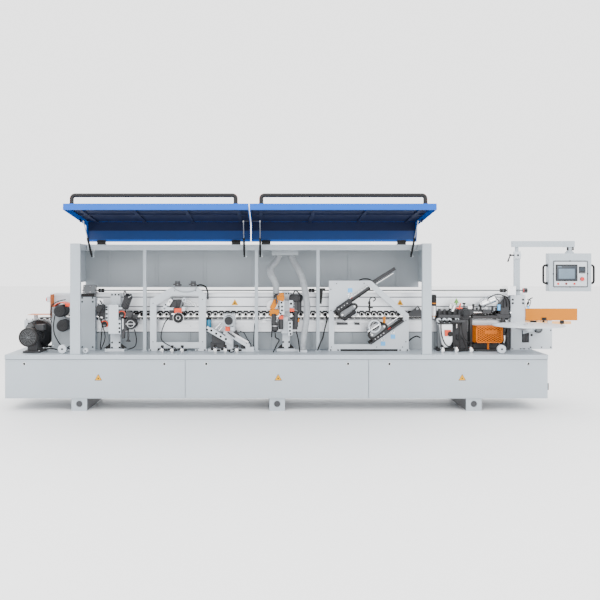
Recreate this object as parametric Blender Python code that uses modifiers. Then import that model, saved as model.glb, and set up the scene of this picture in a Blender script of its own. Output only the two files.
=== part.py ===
"""Edge banding machine. Metres, +Z up, the feeding direction along X, the operator's side at -Y.

Places are in line coordinates: X from the middle foot beam's datum, Y from the base's front face
and Z from the floor. The empty machine_origin moves them all to the middle of the machine's box.
"""

import math

import bmesh
import bpy
from mathutils import Vector

GAP = 0.0003
RIGHT_END = 3.475

# Base
BASE_LEFT = -2.610
BASE_RIGHT = 2.817
BASE_DEPTH = 0.780
BASE_BOTTOM = 0.126
BASE_WALL = 0.008
DECK_UNDER = 0.550
DECK = 0.563
LIP_UNDER = 0.517
DOOR_SPLITS = (-0.806, 1.025)
FOOT_CENTRES = (-1.868, 0.112, 2.080)
FOOT_WIDTH = 0.155

# Enclosure
PILLARS = ((-1.960, -1.860), (1.566, 1.658))
FRAME_TOP = 1.676
BEAM_UNDER = 1.612
BEAM_FRONT = 0.318
BEAM_BACK = 0.370
POST_CENTRES = (-1.260, -0.100, 0.540)
POST_WIDTH = 0.033
WALL_BACK = 0.703
WALL_UNDER = 1.215
PANEL_UNDER = 1.275

# Lids, given about the hinge axis with the lid closed
HINGE = (0.300, 1.700)
LID_OPEN = math.radians(96.0)
LID_SPANS = ((-1.852, -0.161), (-0.149, 1.558))
LID_REACH = 0.215
LID_DROP = 1.0645
LID_FLANGE = 0.057
LID_SHEET = 0.004

# Gas struts
STRUT_FOOT = (0.360, 1.549)
STRUT_EYE = (-0.160, -0.366)
STRUT_PLACES = (-1.815, -0.225, -0.060, 1.512)
STRUT_TUBE = 0.285
STRUT_ROD = 0.270

# Conveyor
CHAIN_TOP = 0.897
CHAIN_THICK = 0.022
SPROCKET_RADIUS = 0.140
SHAFT_HEIGHT = CHAIN_TOP - CHAIN_THICK - SPROCKET_RADIUS
DRIVE_X = -2.387
IDLER_X = 2.885
RAIL_ENDS = (-2.560, 2.985)
STAND_ENDS = (-2.180, 2.700)
CHAIN_FRONT = 0.560
CHAIN_BACK = 0.640

# Pressure beam
BEAM_LOW = 0.974
BEAM_HIGH = 1.162
BEAM_ENDS = (-2.290, 2.750)
ROLLER_PITCH = 0.065
ROLLER_RADIUS = 0.025
ROLLER_COUNT = 76
SHAFT_LINE = (0.430, 1.190)

machine = bpy.data.collections.new("edge_banding_machine")
cutters = bpy.data.collections.new("cutters")


def clear_scene():
    for obj in list(bpy.data.objects):
        bpy.data.objects.remove(obj, do_unlink=True)
    for collection in (machine, cutters):
        bpy.context.scene.collection.children.link(collection)


def material(name, colour, roughness, metallic=0.0):
    made = bpy.data.materials.new(name)
    made.use_nodes = True
    shader = made.node_tree.nodes["Principled BSDF"]
    shader.inputs["Base Color"].default_value = (*colour, 1.0)
    shader.inputs["Roughness"].default_value = roughness
    shader.inputs["Metallic"].default_value = metallic
    return made


def pivot(name, place, turn=(0.0, 0.0, 0.0), parent=None):
    """An empty that stands at a joint's axis, or carries a group."""
    empty = bpy.data.objects.new(name, None)
    empty.location = place
    empty.rotation_euler = turn
    empty.parent = parent
    machine.objects.link(empty)
    return empty


def finish(mesh, name, parent, place=(0.0, 0.0, 0.0)):
    obj = bpy.data.objects.new(name, mesh)
    obj.location = place
    obj.parent = parent
    machine.objects.link(obj)
    return obj


def mesh_of(shape, name):
    mesh = bpy.data.meshes.new(name)
    shape.to_mesh(mesh)
    shape.free()
    return mesh


def box(name, low, high, parent):
    """A block between two corners."""
    shape = bmesh.new()
    bmesh.ops.create_cube(shape, size=1.0)
    size = [top - bottom for bottom, top in zip(low, high)]
    bmesh.ops.scale(shape, vec=size, verts=shape.verts)
    middle = [(bottom + top) / 2 for bottom, top in zip(low, high)]
    return finish(mesh_of(shape, name), name, parent, middle)


def rod(name, start, end, radius, parent, sides=16, end_radius=None):
    """A round bar or a cone from start to end."""
    start = Vector(start)
    end = Vector(end)
    shape = bmesh.new()
    last = radius if end_radius is None else end_radius
    bmesh.ops.create_cone(
        shape,
        cap_ends=True,
        segments=sides,
        radius1=radius,
        radius2=last,
        depth=(end - start).length,
    )
    turn = (end - start).to_track_quat("Z", "Y").to_matrix()
    bmesh.ops.rotate(shape, matrix=turn, verts=shape.verts)
    mesh = mesh_of(shape, name)
    mesh.shade_smooth()
    mesh.set_sharp_from_angle(angle=math.radians(35))
    return finish(mesh, name, parent, (start + end) / 2)


def turned(name, profile, parent, steps=14, turn=(0.0, 0.0, 0.0), place=(0.0, 0.0, 0.0)):
    """A turned shape: the profile is (radius, height) from the top down its outer side."""
    mesh = bpy.data.meshes.new(name)
    points = [(radius, 0.0, height) for radius, height in profile]
    edges = [(index, index + 1) for index in range(len(points) - 1)]
    mesh.from_pydata(points, edges, [])
    obj = finish(mesh, name, parent, place)
    obj.rotation_euler = turn
    screw = obj.modifiers.new("turn", "SCREW")
    screw.steps = steps
    screw.render_steps = steps
    screw.use_merge_vertices = True
    screw.merge_threshold = 0.0001
    return obj


def plate(name, outline, front, back, parent, holes=()):
    """A flat outline in X and Z, cut from stock that reaches from front to back in Y."""
    curve = bpy.data.curves.new(name, "CURVE")
    curve.dimensions = "2D"
    curve.fill_mode = "BOTH"
    curve.extrude = (back - front) / 2
    for loop in (outline, *holes):
        spline = curve.splines.new("POLY")
        spline.points.add(len(loop) - 1)
        for point, (across, up) in zip(spline.points, loop):
            point.co = (across, up, 0.0, 1.0)
        spline.use_cyclic_u = True
    guide = bpy.data.objects.new(name, curve)
    machine.objects.link(guide)
    mesh = solid_from(guide)
    obj = finish(mesh, name, parent, (0.0, (front + back) / 2, 0.0))
    obj.rotation_euler = (math.pi / 2, 0.0, 0.0)
    return obj


def tube(name, route, radius, parent, resolution=2):
    """A round tube along a smooth curve through the route's points."""
    curve = bpy.data.curves.new(name, "CURVE")
    curve.dimensions = "3D"
    curve.bevel_depth = radius
    curve.bevel_resolution = resolution
    curve.use_fill_caps = True
    spline = curve.splines.new("POLY")
    spline.points.add(len(route) - 1)
    for point, place in zip(spline.points, route):
        point.co = (*place, 1.0)
    guide = bpy.data.objects.new(name, curve)
    machine.objects.link(guide)
    return finish(solid_from(guide), name, parent)


def solid_from(guide):
    """The closed mesh of a curve object, which is then removed."""
    graph = bpy.context.evaluated_depsgraph_get()
    mesh = bpy.data.meshes.new_from_object(guide.evaluated_get(graph))
    shape = bmesh.new()
    shape.from_mesh(mesh)
    bmesh.ops.remove_doubles(shape, verts=shape.verts, dist=0.00005)
    bmesh.ops.recalc_face_normals(shape, faces=shape.faces)
    shape.to_mesh(mesh)
    shape.free()
    bpy.data.objects.remove(guide, do_unlink=True)
    return mesh


def smooth_route(knots, steps=4):
    """Points on a smooth curve through the knots."""
    knots = [Vector(knot) for knot in knots]
    ends = [knots[0], *knots, knots[-1]]
    route = []
    for index in range(len(knots) - 1):
        before, start, end, after = ends[index : index + 4]
        for step in range(steps):
            part = step / steps
            pull = (end - before) * (part - 2 * part**2 + part**3) / 2
            push = (after - start) * (part**3 - part**2) / 2
            blend = 3 * part**2 - 2 * part**3
            route.append(start * (1 - blend) + end * blend + pull + push)
    route.append(knots[-1])
    return route


def combine(target, operation, others):
    for other in others:
        machine.objects.unlink(other)
        cutters.objects.link(other)
        other.hide_render = True
        other.display_type = "WIRE"
        step = target.modifiers.new(operation.lower(), "BOOLEAN")
        step.operation = operation
        step.object = other
        step.solver = "EXACT"
    return target


def join(target, *others):
    return combine(target, "UNION", others)


def cut(target, *others):
    return combine(target, "DIFFERENCE", others)


def paint(finish_name, *objects):
    for obj in objects:
        obj.data.materials.append(finish_name)


def base(root, white, black):
    low = (BASE_LEFT, 0.0, BASE_BOTTOM)
    frame = box("base_frame", low, (BASE_RIGHT, BASE_DEPTH, DECK_UNDER - GAP), root)
    edges = (BASE_LEFT, *DOOR_SPLITS, BASE_RIGHT)
    bays = []
    for index in range(3):
        left = edges[index] + (BASE_WALL if index == 0 else BASE_WALL / 2)
        right = edges[index + 1] - (BASE_WALL if index == 2 else BASE_WALL / 2)
        inside = (left, -0.01, BASE_BOTTOM + BASE_WALL)
        bays.append(box(f"bay_{index}", inside, (right, BASE_DEPTH - BASE_WALL, 0.6), root))
    cut(frame, *bays)
    for centre in FOOT_CENTRES:
        left = centre - FOOT_WIDTH / 2
        right = centre + FOOT_WIDTH / 2
        far = (right, BASE_DEPTH - 0.004, BASE_BOTTOM + 0.004)
        join(frame, box("foot_beam", (left, 0.004, 0.0), far, root))
        low = (left + BASE_WALL, 0.016, BASE_WALL)
        high = (right - BASE_WALL, BASE_DEPTH + 0.01, BASE_BOTTOM - BASE_WALL)
        cut(frame, box("foot_hollow", low, high, root))
        cut(frame, rod("foot_hole", (centre, -0.01, 0.070), (centre, 0.02, 0.070), 0.030, root, 20))
    deck = box(
        "base_top_plate",
        (BASE_LEFT, -0.014, DECK_UNDER),
        (BASE_RIGHT, BASE_DEPTH + 0.010, DECK),
        root,
    )
    join(deck, box("deck_lip", (BASE_LEFT, -0.014, LIP_UNDER), (BASE_RIGHT, -0.002, DECK - 0.004), root))
    doors = []
    for index, name in enumerate(("left", "middle", "right")):
        left = edges[index] + 0.004
        right = edges[index + 1] - 0.004
        low = (left, -0.010, BASE_BOTTOM + 0.001)
        high = (right, -0.002, LIP_UNDER - 0.005)
        doors.append(box(f"base_door_{name}", low, high, root))
    knob_pivot = pivot("main_switch_axis", (BASE_RIGHT, 0.10, 0.230), parent=root)
    knob = rod("main_switch_knob", (GAP, 0, 0), (0.024, 0, 0), 0.040, knob_pivot, 16)
    join(knob, box("switch_grip", (0.018, -0.012, -0.034), (0.040, 0.012, 0.034), knob_pivot))
    paint(white, frame, deck, *doors)
    paint(black, knob)


def enclosure(root, white, grey):
    for name, (left, right) in zip(("left", "right"), PILLARS):
        pillar = box(f"side_frame_{name}", (left, 0.004, DECK + GAP), (right, 0.056, FRAME_TOP), root)
        rail_top = (right - 0.004, WALL_BACK, FRAME_TOP - 0.004)
        join(pillar, box("side_rail", (left + 0.004, 0.03, BEAM_UNDER), rail_top, root))
        sheet = left + 0.004 if name == "left" else right - 0.008
        far = (sheet + 0.004, WALL_BACK - 0.0045, BEAM_UNDER + 0.003)
        join(pillar, box("side_panel", (sheet, 0.05, PANEL_UNDER), far, root))
        paint(white, pillar)
    left = PILLARS[0][1] + GAP
    right = PILLARS[1][0] - GAP
    beam = box("beam_frame", (left, BEAM_FRONT, BEAM_UNDER), (right, BEAM_BACK, FRAME_TOP - 0.006), root)
    for centre in POST_CENTRES:
        low = (centre - POST_WIDTH / 2, BEAM_FRONT + 0.002, DECK + GAP)
        high = (centre + POST_WIDTH / 2, BEAM_BACK - 0.004, BEAM_UNDER + 0.01)
        join(beam, box("post", low, high, root))
    for place in STRUT_PLACES:
        low = (place + 0.014, 0.345, 1.535)
        join(beam, box("strut_bracket", low, (place + 0.020, BEAM_BACK - 0.002, BEAM_UNDER + 0.01), root))
    wall_low = (PILLARS[0][0] + 0.005, WALL_BACK - 0.004, WALL_UNDER)
    wall = box("rear_wall", wall_low, (PILLARS[1][1] - 0.005, WALL_BACK, BEAM_UNDER - 0.0005), root)
    upper_low = (left, WALL_BACK - 0.004, BEAM_UNDER - 0.012)
    join(wall, box("upper_wall", upper_low, (right, WALL_BACK, FRAME_TOP - 0.006), root))
    roof_low = (left, BEAM_BACK + GAP, FRAME_TOP - 0.010)
    join(wall, box("roof", roof_low, (right, WALL_BACK - 0.002, FRAME_TOP - 0.006), root))
    manifold = box("dust_manifold", (0.060, 0.44, 1.560), (0.340, 0.60, FRAME_TOP - 0.008), root)
    join(wall, manifold)
    paint(white, beam)
    paint(grey, wall)


def lids(root, blue, black):
    for name, (left, right) in zip(("left", "right"), LID_SPANS):
        hinge = pivot(f"lid_{name}_hinge", (0.0, *HINGE), (-LID_OPEN, 0.0, 0.0), root)
        top = LID_SHEET + 0.010
        lid = box(f"lid_{name}", (left, -LID_REACH, 0.010), (right, 0.0, top), hinge)
        front = box("front", (left, -LID_REACH, -LID_DROP), (right, LID_SHEET - LID_REACH, top), hinge)
        lip_low = (left, -LID_REACH, -LID_DROP)
        lip = box("lip", lip_low, (right, LID_FLANGE - LID_REACH, LID_SHEET - LID_DROP), hinge)
        join(lid, front, lip)
        for edge in (left, right - LID_SHEET):
            outer = [(0.0, top), (-LID_REACH, top), (-LID_REACH, -LID_DROP)]
            inner = [(LID_FLANGE - LID_REACH, -LID_DROP), (LID_FLANGE - LID_REACH, -0.08), (0.0, -0.012)]
            side = plate("flange", outer + inner, -LID_SHEET / 2, LID_SHEET / 2, hinge)
            side.rotation_euler = (math.pi / 2, 0.0, math.pi / 2)
            side.location = (edge + LID_SHEET / 2, 0.0, 0.0)
            join(lid, side)
        paint(blue, lid)
        ends = {"left": (-1.784, -0.279), "right": (-0.043, 1.464)}[name]
        reach = -LID_REACH - 0.085
        drop = 0.050 - LID_DROP
        outer = -LID_REACH - GAP
        knots = [(ends[0], outer, drop), (ends[0], reach + 0.03, drop)]
        knots += [(ends[0] + 0.009, reach + 0.009, drop), (ends[0] + 0.03, reach, drop)]
        knots += [(ends[1] - across, away, drop) for across, away in mirrored(reach, outer)]
        handle = tube(f"lid_handle_{name}", knots, 0.019, hinge)
        paint(black, handle)


def mirrored(reach, outer):
    """The handle's second corner, as distances from its end and from the lid's hinge."""
    return ((0.03, reach), (0.009, reach + 0.009), (0.0, reach + 0.03), (0.0, outer))


def strut_frames(root):
    """Each strut's empty: its axis runs from the foot's ball to the eye on the open lid."""
    reach, drop = STRUT_EYE
    cosine = math.cos(LID_OPEN)
    sine = math.sin(LID_OPEN)
    eye = Vector((HINGE[0] + reach * cosine + drop * sine, HINGE[1] - reach * sine + drop * cosine))
    line = eye - Vector(STRUT_FOOT)
    tilt = math.atan2(-line.x, line.y)
    places = enumerate(STRUT_PLACES, start=1)
    return [pivot(f"strut_{n}_foot", (x, *STRUT_FOOT), (tilt, 0, 0), root) for n, x in places], line.length


def struts(root, black, steel):
    frames, length = strut_frames(root)
    for number, frame in enumerate(frames, start=1):
        bore = 0.0062
        body = [(0.0, 0.030), (bore, 0.030), (bore, STRUT_TUBE), (0.011, STRUT_TUBE)]
        body += [(0.011, 0.022), (0.006, 0.014), (0.010, 0.006), (0.010, -0.006), (0.0, -0.010)]
        cylinder = turned(f"strut_cylinder_{number}", body, frame)
        tip = [(0.0, length + 0.010), (0.009, length + 0.006), (0.009, length - 0.006)]
        tip += [(0.005, length - 0.012), (0.005, length - STRUT_ROD), (0.0, length - STRUT_ROD)]
        piston = turned(f"strut_rod_{number}", tip, frame)
        paint(black, cylinder)
        paint(steel, piston)


def sprocket(name, centre, root):
    """A toothed wheel on its shaft; a chain of flat pads runs over it."""
    axle = pivot(f"{name}_axis", (centre, 0.60, SHAFT_HEIGHT), parent=root)
    outline = []
    teeth = 14
    for tooth in range(teeth):
        for offset, radius in ((0.0, 0.126), (0.3, 0.126), (0.45, 0.137), (0.75, 0.137)):
            angle = 2 * math.pi * (tooth + offset) / teeth
            outline.append((radius * math.cos(angle), radius * math.sin(angle)))
    wheel = plate(name, outline, -0.025, 0.025, axle)
    join(wheel, rod("shaft", (0, -0.125, 0), (0, 0.065, 0), 0.013, axle, 12))
    return wheel


def chain_outline(radius):
    """The loop round both sprockets, read clockwise from the drive end's foot."""
    steps = [math.pi * index / 10 for index in range(11)]
    left = [(DRIVE_X - radius * math.sin(a), SHAFT_HEIGHT - radius * math.cos(a)) for a in steps]
    right = [(IDLER_X + radius * math.sin(a), SHAFT_HEIGHT + radius * math.cos(a)) for a in steps]
    return left + right


def conveyor(root, steel, white, black, dark):
    left, right = STAND_ENDS
    stand = box("conveyor_stand", (left, 0.500, DECK + GAP), (right, 0.512, 0.7487), root)
    back = box("stand_back", (left, 0.688, DECK + GAP), (right, 0.700, 0.7487), root)
    bridge = box("stand_web", (left, 0.510, 0.716), (right, 0.690, 0.730), root)
    join(stand, bridge, back)
    beam = box("conveyor_beam", (RAIL_ENDS[0], 0.500, 0.749), (RAIL_ENDS[1], 0.545, 0.872), root)
    join(
        beam,
        box("beam_web", (left, 0.540, 0.790), (right, 0.660, 0.815), root),
        box("beam_back", (RAIL_ENDS[0], 0.655, 0.749), (RAIL_ENDS[1], 0.700, 0.872), root),
    )
    inner = chain_outline(SPROCKET_RADIUS)
    outer = chain_outline(SPROCKET_RADIUS + CHAIN_THICK)
    chain = plate("conveyor_chain", outer, CHAIN_FRONT, CHAIN_BACK, root, (inner,))
    wheels = [sprocket("drive_sprocket", DRIVE_X, root), sprocket("idler_sprocket", IDLER_X, root)]
    motor = rod("drive_gearmotor", (DRIVE_X, 0.395, 0.733), (DRIVE_X, 0.470, 0.733), 0.150, root, 24)
    join(
        motor,
        rod("motor_body", (DRIVE_X, 0.06, 0.733), (DRIVE_X, 0.400, 0.733), 0.088, root, 20),
        rod("fan_cover", (DRIVE_X, 0.02, 0.733), (DRIVE_X, 0.08, 0.733), 0.098, root, 20),
        box("motor_foot", (DRIVE_X - 0.09, 0.14, DECK + GAP), (DRIVE_X + 0.09, 0.42, 0.66), root),
        rod("lifting_eye", (DRIVE_X, 0.20, 0.80), (DRIVE_X, 0.20, 0.855), 0.016, root, 10),
    )
    paint(white, stand)
    paint(steel, beam, *wheels)
    paint(black, chain)
    paint(dark, motor)


def pressure_beam(root, steel, white):
    lift = pivot("pressure_beam_lift", (0.0, 0.0, 0.0), parent=root)
    left, right = BEAM_ENDS
    low = BEAM_LOW
    beam = box("pressure_beam", (left, 0.500, low), (right, 0.680, BEAM_HIGH), lift)
    hollow_low = (left - 0.1, 0.508, low + 0.008)
    cut(beam, box("beam_hollow", hollow_low, (right + 0.1, 0.672, BEAM_HIGH - 0.008), lift))
    join(
        beam,
        box("left_gearbox", (-1.910, 0.390, 1.164), (-1.830, 0.560, 1.245), lift),
        box("gearbox_foot", (-1.900, 0.505, 1.156), (-1.840, 0.550, 1.170), lift),
        box("right_gearbox", (2.530, 0.390, 1.143), (2.615, 0.520, 1.236), lift),
    )
    cut(beam, rod("left_bore", (-2.0, *SHAFT_LINE), (-1.7, *SHAFT_LINE), 0.0076, lift, 12))
    cut(beam, rod("right_bore", (2.4, *SHAFT_LINE), (2.74, *SHAFT_LINE), 0.0076, lift, 12))
    outline = [(left + 0.02, low - GAP), (left + 0.02, ROLLER_RADIUS + 0.907)]
    for index in range(ROLLER_COUNT):
        centre = left + 0.06 + index * ROLLER_PITCH
        for across, down in ((-1.0, 0.0), (-0.5, 0.87), (0.5, 0.87), (1.0, 0.0)):
            outline.append((centre + across * 0.024, 0.932 - down * ROLLER_RADIUS * 1.149))
    outline += [(right - 0.02, 0.932), (right - 0.02, low - GAP)]
    rollers = plate("pressure_rollers", outline, 0.560, 0.640, lift)
    axle = pivot("lift_shaft_axis", (0.0, *SHAFT_LINE), parent=lift)
    shaft = rod("lift_shaft", (-1.93, 0, 0), (2.720, 0, 0), 0.0070, axle, 12)
    for centre, length, radius in ((-1.73, 0.06, 0.017), (0.48, 0.05, 0.017), (2.49, 0.05, 0.017)):
        sleeve = rod("coupling", (centre - length / 2, 0, 0), (centre + length / 2, 0, 0), radius, axle, 12)
        join(shaft, sleeve)
    join(shaft, rod("hand_knob", (2.70, 0, 0), (2.745, 0, 0), 0.024, axle, 12))
    column = box("lift_column", (-1.947, 0.400, DECK + GAP), (-1.790, 0.490, 1.122), root)
    join(column, box("column_cap", (-1.935, 0.405, 1.118), (-1.802, 0.485, 1.155), root))
    paint(steel, beam, rollers, shaft)
    paint(white, column)


def outfeed(root, orange, dark, red):
    guard = box("outfeed_guard", (-2.472, 0.30, 0.940), (-2.232, 0.496, 0.943), root)
    join(guard, box("end_guard", (-2.235, 0.30, 0.915), (-2.232, 0.496, 1.153), root))
    join(guard, box("guard_leg", (-2.452, 0.474, 0.858), (-2.412, 0.4997, 0.942), root))
    join(guard, box("switch_box", (-2.267, 0.32, 1.07), (-2.233, 0.38, 1.13), root))
    cut(guard, rod("switch_bore", (-2.282, 0.35, 1.10), (-2.237, 0.35, 1.10), 0.0105, root, 12))
    stop = pivot("outfeed_stop_axis", (-2.274, 0.35, 1.10), parent=root)
    button = rod("outfeed_stop", (-0.012, 0, 0), (0.0, 0, 0), 0.020, stop, 14)
    join(button, rod("stem", (-0.002, 0, 0), (0.026, 0, 0), 0.009, stop, 10))
    unit = box("buffing_unit", (-2.230, 0.34, DECK + GAP), (-2.120, 0.44, 1.02), root)
    join(
        unit,
        rod("upper_motor", (-2.11, 0.17, 0.987), (-2.11, 0.46, 0.987), 0.063, root, 18),
        rod("lower_motor", (-2.08, 0.17, 0.838), (-2.08, 0.46, 0.838), 0.063, root, 18),
        box("buffing_foot", (-2.25, 0.25, DECK + GAP), (-2.02, 0.46, DECK + 0.02), root),
    )
    paint(orange, guard)
    paint(red, button)
    paint(dark, unit)


def scraper(root, white, dark):
    post = box("scraper_post", (-1.620, 0.36, DECK + GAP), (-1.520, 0.42, 1.165), root)
    join(post, box("post_foot", (-1.670, 0.30, DECK + GAP), (-1.470, 0.46, DECK + 0.025), root))
    slide = pivot("scraper_slide", (-1.57, 0.30, 0.90), parent=root)
    head = box("scraper_head", (-0.080, -0.060, -0.150), (0.070, 0.058, 0.150), slide)
    join(
        head,
        rod("left_motor", (-0.130, -0.13, 0.140), (-0.130, 0.05, 0.140), 0.045, slide, 14),
        rod("upper_motor", (0.150, -0.10, 0.200), (0.060, 0.0, 0.10), 0.040, slide, 14),
        rod("lower_motor", (0.190, -0.10, -0.050), (0.060, 0.0, -0.050), 0.040, slide, 14),
        box("left_bracket", (-0.140, -0.03, 0.0), (-0.060, 0.03, 0.15), slide),
    )
    paint(white, post)
    paint(dark, head)


def rounding(root, white, dark):
    outline = [(-1.206, 0.5635), (-1.206, 1.100), (-0.980, 1.227), (-0.710, 1.227), (-0.624, 1.150)]
    outline += [(-0.624, 0.5635), (-0.695, 0.5635), (-0.700, 1.140), (-0.970, 1.140)]
    outline += [(-1.140, 1.040), (-1.140, 0.660), (-1.110, 0.5635)]
    frame = plate("rounding_frame", outline, 0.335, 0.362, root)
    arm = pivot("rounding_arm_axis", (-0.850, 0.300, 1.098), parent=root)
    motor = (-0.048, -0.180)
    head = rod("rounding_head", (motor[0], -0.110, motor[1]), (motor[0], 0.026, motor[1]), 0.057, arm, 18)
    join(
        head,
        box("red_block", (-0.093, -0.06, -0.140), (-0.013, 0.0, -0.070), arm),
        box("side_arm", (-0.153, -0.02, -0.220), (-0.078, 0.020, 0.0), arm),
        rod("pull_rod", (0.0, -0.02, 0.0), (-0.088, -0.02, -0.150), 0.010, arm, 10),
        rod("ball", (0.0, -0.046, 0.0), (0.0, 0.006, 0.0), 0.026, arm, 12),
    )
    paint(white, frame)
    paint(dark, head)


def fine_trimming(root, white):
    unit = box("fine_trim_unit", (-0.440, 0.30, 0.74), (-0.320, 0.42, 0.950), root)
    upper = [(-0.600, 0.805), (-0.560, 0.810), (-0.340, 0.665), (-0.355, 0.625), (-0.600, 0.770)]
    lower = [(-0.350, 0.740), (-0.310, 0.740), (-0.165, 0.635), (-0.175, 0.590), (-0.350, 0.700)]
    join(
        unit,
        plate("upper_guide", upper, 0.29, 0.33, root),
        plate("lower_guide", lower, 0.29, 0.33, root),
        box("trim_leg", (-0.420, 0.31, DECK + GAP), (-0.340, 0.41, 0.76), root),
        box("trim_foot", (-0.600, 0.28, DECK + GAP), (-0.125, 0.44, DECK + 0.025), root),
        box("end_block", (-0.210, 0.29, DECK + GAP), (-0.125, 0.34, 0.61), root),
        rod("trim_motor", (-0.38, 0.16, 0.89), (-0.38, 0.31, 0.89), 0.048, root, 16),
    )
    paint(white, unit)


def rough_trimming(root, white, dark, grey):
    post = box("rough_trim_post", (0.172, 0.36, DECK + GAP), (0.248, 0.404, 1.180), root)
    join(post, box("rough_foot", (0.115, 0.30, DECK + GAP), (0.300, 0.46, DECK + 0.025), root))
    upper = pivot("upper_trim_slide", (0.21, 0.30, 1.04), parent=root)
    head = box("trim_head_upper", (-0.070, -0.040, -0.100), (0.070, 0.058, 0.080), upper)
    join(
        head,
        rod("upper_motor", (0.02, -0.01, 0.060), (0.155, -0.01, 0.060), 0.040, upper, 16),
        box("upper_hood", (-0.175, -0.05, -0.090), (-0.050, 0.03, 0.110), upper),
    )
    lower = pivot("lower_trim_slide", (0.21, 0.30, 0.85), parent=root)
    second = box("trim_head_lower", (-0.070, -0.040, -0.120), (0.070, 0.058, 0.080), lower)
    join(
        second,
        rod("lower_motor", (-0.115, -0.01, 0.020), (-0.115, -0.01, -0.080), 0.036, lower, 16),
        box("lower_arm", (-0.130, -0.03, -0.04), (-0.06, 0.03, 0.03), lower),
        box("lower_hood", (0.050, -0.04, -0.05), (0.150, 0.03, 0.05), lower),
    )
    left_route = [(0.130, 0.50, 1.545), (0.105, 0.45, 1.490), (0.050, 0.36, 1.430), (0.046, 0.29, 1.370)]
    left_route += [(0.080, 0.26, 1.310), (0.102, 0.26, 1.245), (0.104, 0.265, 1.170)]
    right_route = [(0.270, 0.50, 1.545), (0.300, 0.44, 1.480), (0.345, 0.34, 1.400), (0.385, 0.27, 1.280)]
    right_route += [(0.412, 0.22, 1.125), (0.420, 0.20, 1.000), (0.408, 0.20, 0.860), (0.390, 0.22, 0.740)]
    right_route += [(0.375, 0.25, 0.605)]
    boot = box("hose_boot", (0.330, 0.21, DECK + GAP), (0.420, 0.29, 0.585), root)
    join(post, boot, box("boot_arm", (0.28, 0.31, DECK + GAP), (0.35, 0.33, 0.583), root))
    join(post, box("boot_link", (0.332, 0.28, DECK + GAP), (0.35, 0.33, 0.583), root))
    hoses = []
    ports = (("left", left_route, 1.1505), ("right", right_route, 0.5855))
    for name, knots, bottom in ports:
        start = (knots[0][0], knots[0][1], 1.5597)
        end = (knots[-1][0], knots[-1][1], bottom)
        hoses.append(tube(f"dust_hose_{name}", [start, *smooth_route(knots, 4), end], 0.034, root))
    paint(white, post)
    paint(dark, head, second)
    paint(grey, *hoses)


def end_cutting(root, white, dark):
    outline = [(0.655, 0.5635), (0.655, 1.294), (1.094, 1.294), (1.484, 0.945), (1.484, 0.5635)]
    hole = [(0.708, 0.633), (0.708, 0.979), (1.074, 1.234), (1.429, 0.920), (1.429, 0.879)]
    hole.append((1.074, 0.633))
    frame = plate("end_cut_frame", outline, 0.335, 0.362, root, (hole,))
    upper_line = math.atan2(1.234 - 0.979, 1.074 - 0.708)
    lower_line = math.atan2(0.879 - 0.633, 1.429 - 1.074)
    saws = []
    for name, place, tilt in (
        ("end_saw_upper", (0.800, 0.25, 1.010), upper_line),
        ("end_saw_lower", (1.150, 0.25, 0.740), lower_line),
    ):
        slide = pivot(f"{name}_slide", place, (0.0, -tilt, 0.0), root)
        saw = box(name, (-0.075, 0.0, -0.035), (0.075, 0.0845, 0.035), slide)
        side = -1.0 if name == "end_saw_upper" else 1.0
        join(
            saw,
            rod("saw_motor", (-0.07, -0.01, side * 0.07), (0.09, -0.01, side * 0.07), 0.045, slide, 16),
            rod("saw_hood", (0.05, 0.05, side * 0.06), (0.05, 0.08, side * 0.06), 0.070, slide, 18),
        )
        saws.append(saw)
    paint(white, frame)
    paint(dark, *saws)


def gluing(root, dark, orange):
    unit = box("glue_unit", (1.790, 0.40, 0.880), (2.300, 0.495, 1.010), root)
    join(
        unit,
        box("glue_pot", (1.790, 0.30, 0.600), (1.930, 0.42, 0.890), root),
        box("glue_leg", (1.960, 0.40, DECK + GAP), (2.110, 0.47, 0.90), root),
        box("glue_foot", (1.780, 0.30, DECK + GAP), (2.420, 0.48, DECK + 0.02), root),
        rod("glue_cylinder", (1.755, 0.38, 0.89), (1.755, 0.38, 1.150), 0.026, root, 14),
        box("cylinder_arm", (1.750, 0.37, 0.90), (1.80, 0.42, 0.95), root),
        rod("feed_motor", (2.290, 0.445, 1.050), (2.430, 0.445, 1.085), 0.040, root, 14),
        box("feed_track", (2.290, 0.43, 0.885), (2.560, 0.485, 1.020), root),
    )
    cover = box("glue_cover", (2.160, 0.26, 0.655), (2.445, 0.3997, 0.830), root)
    cut(cover, box("cover_hollow", (2.163, 0.263, 0.60), (2.442, 0.45, 0.827), root))
    join(cover, box("cover_leg", (2.29, 0.31, 0.5835), (2.32, 0.33, 0.8285), root))
    paint(dark, unit)
    paint(orange, cover)


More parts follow.
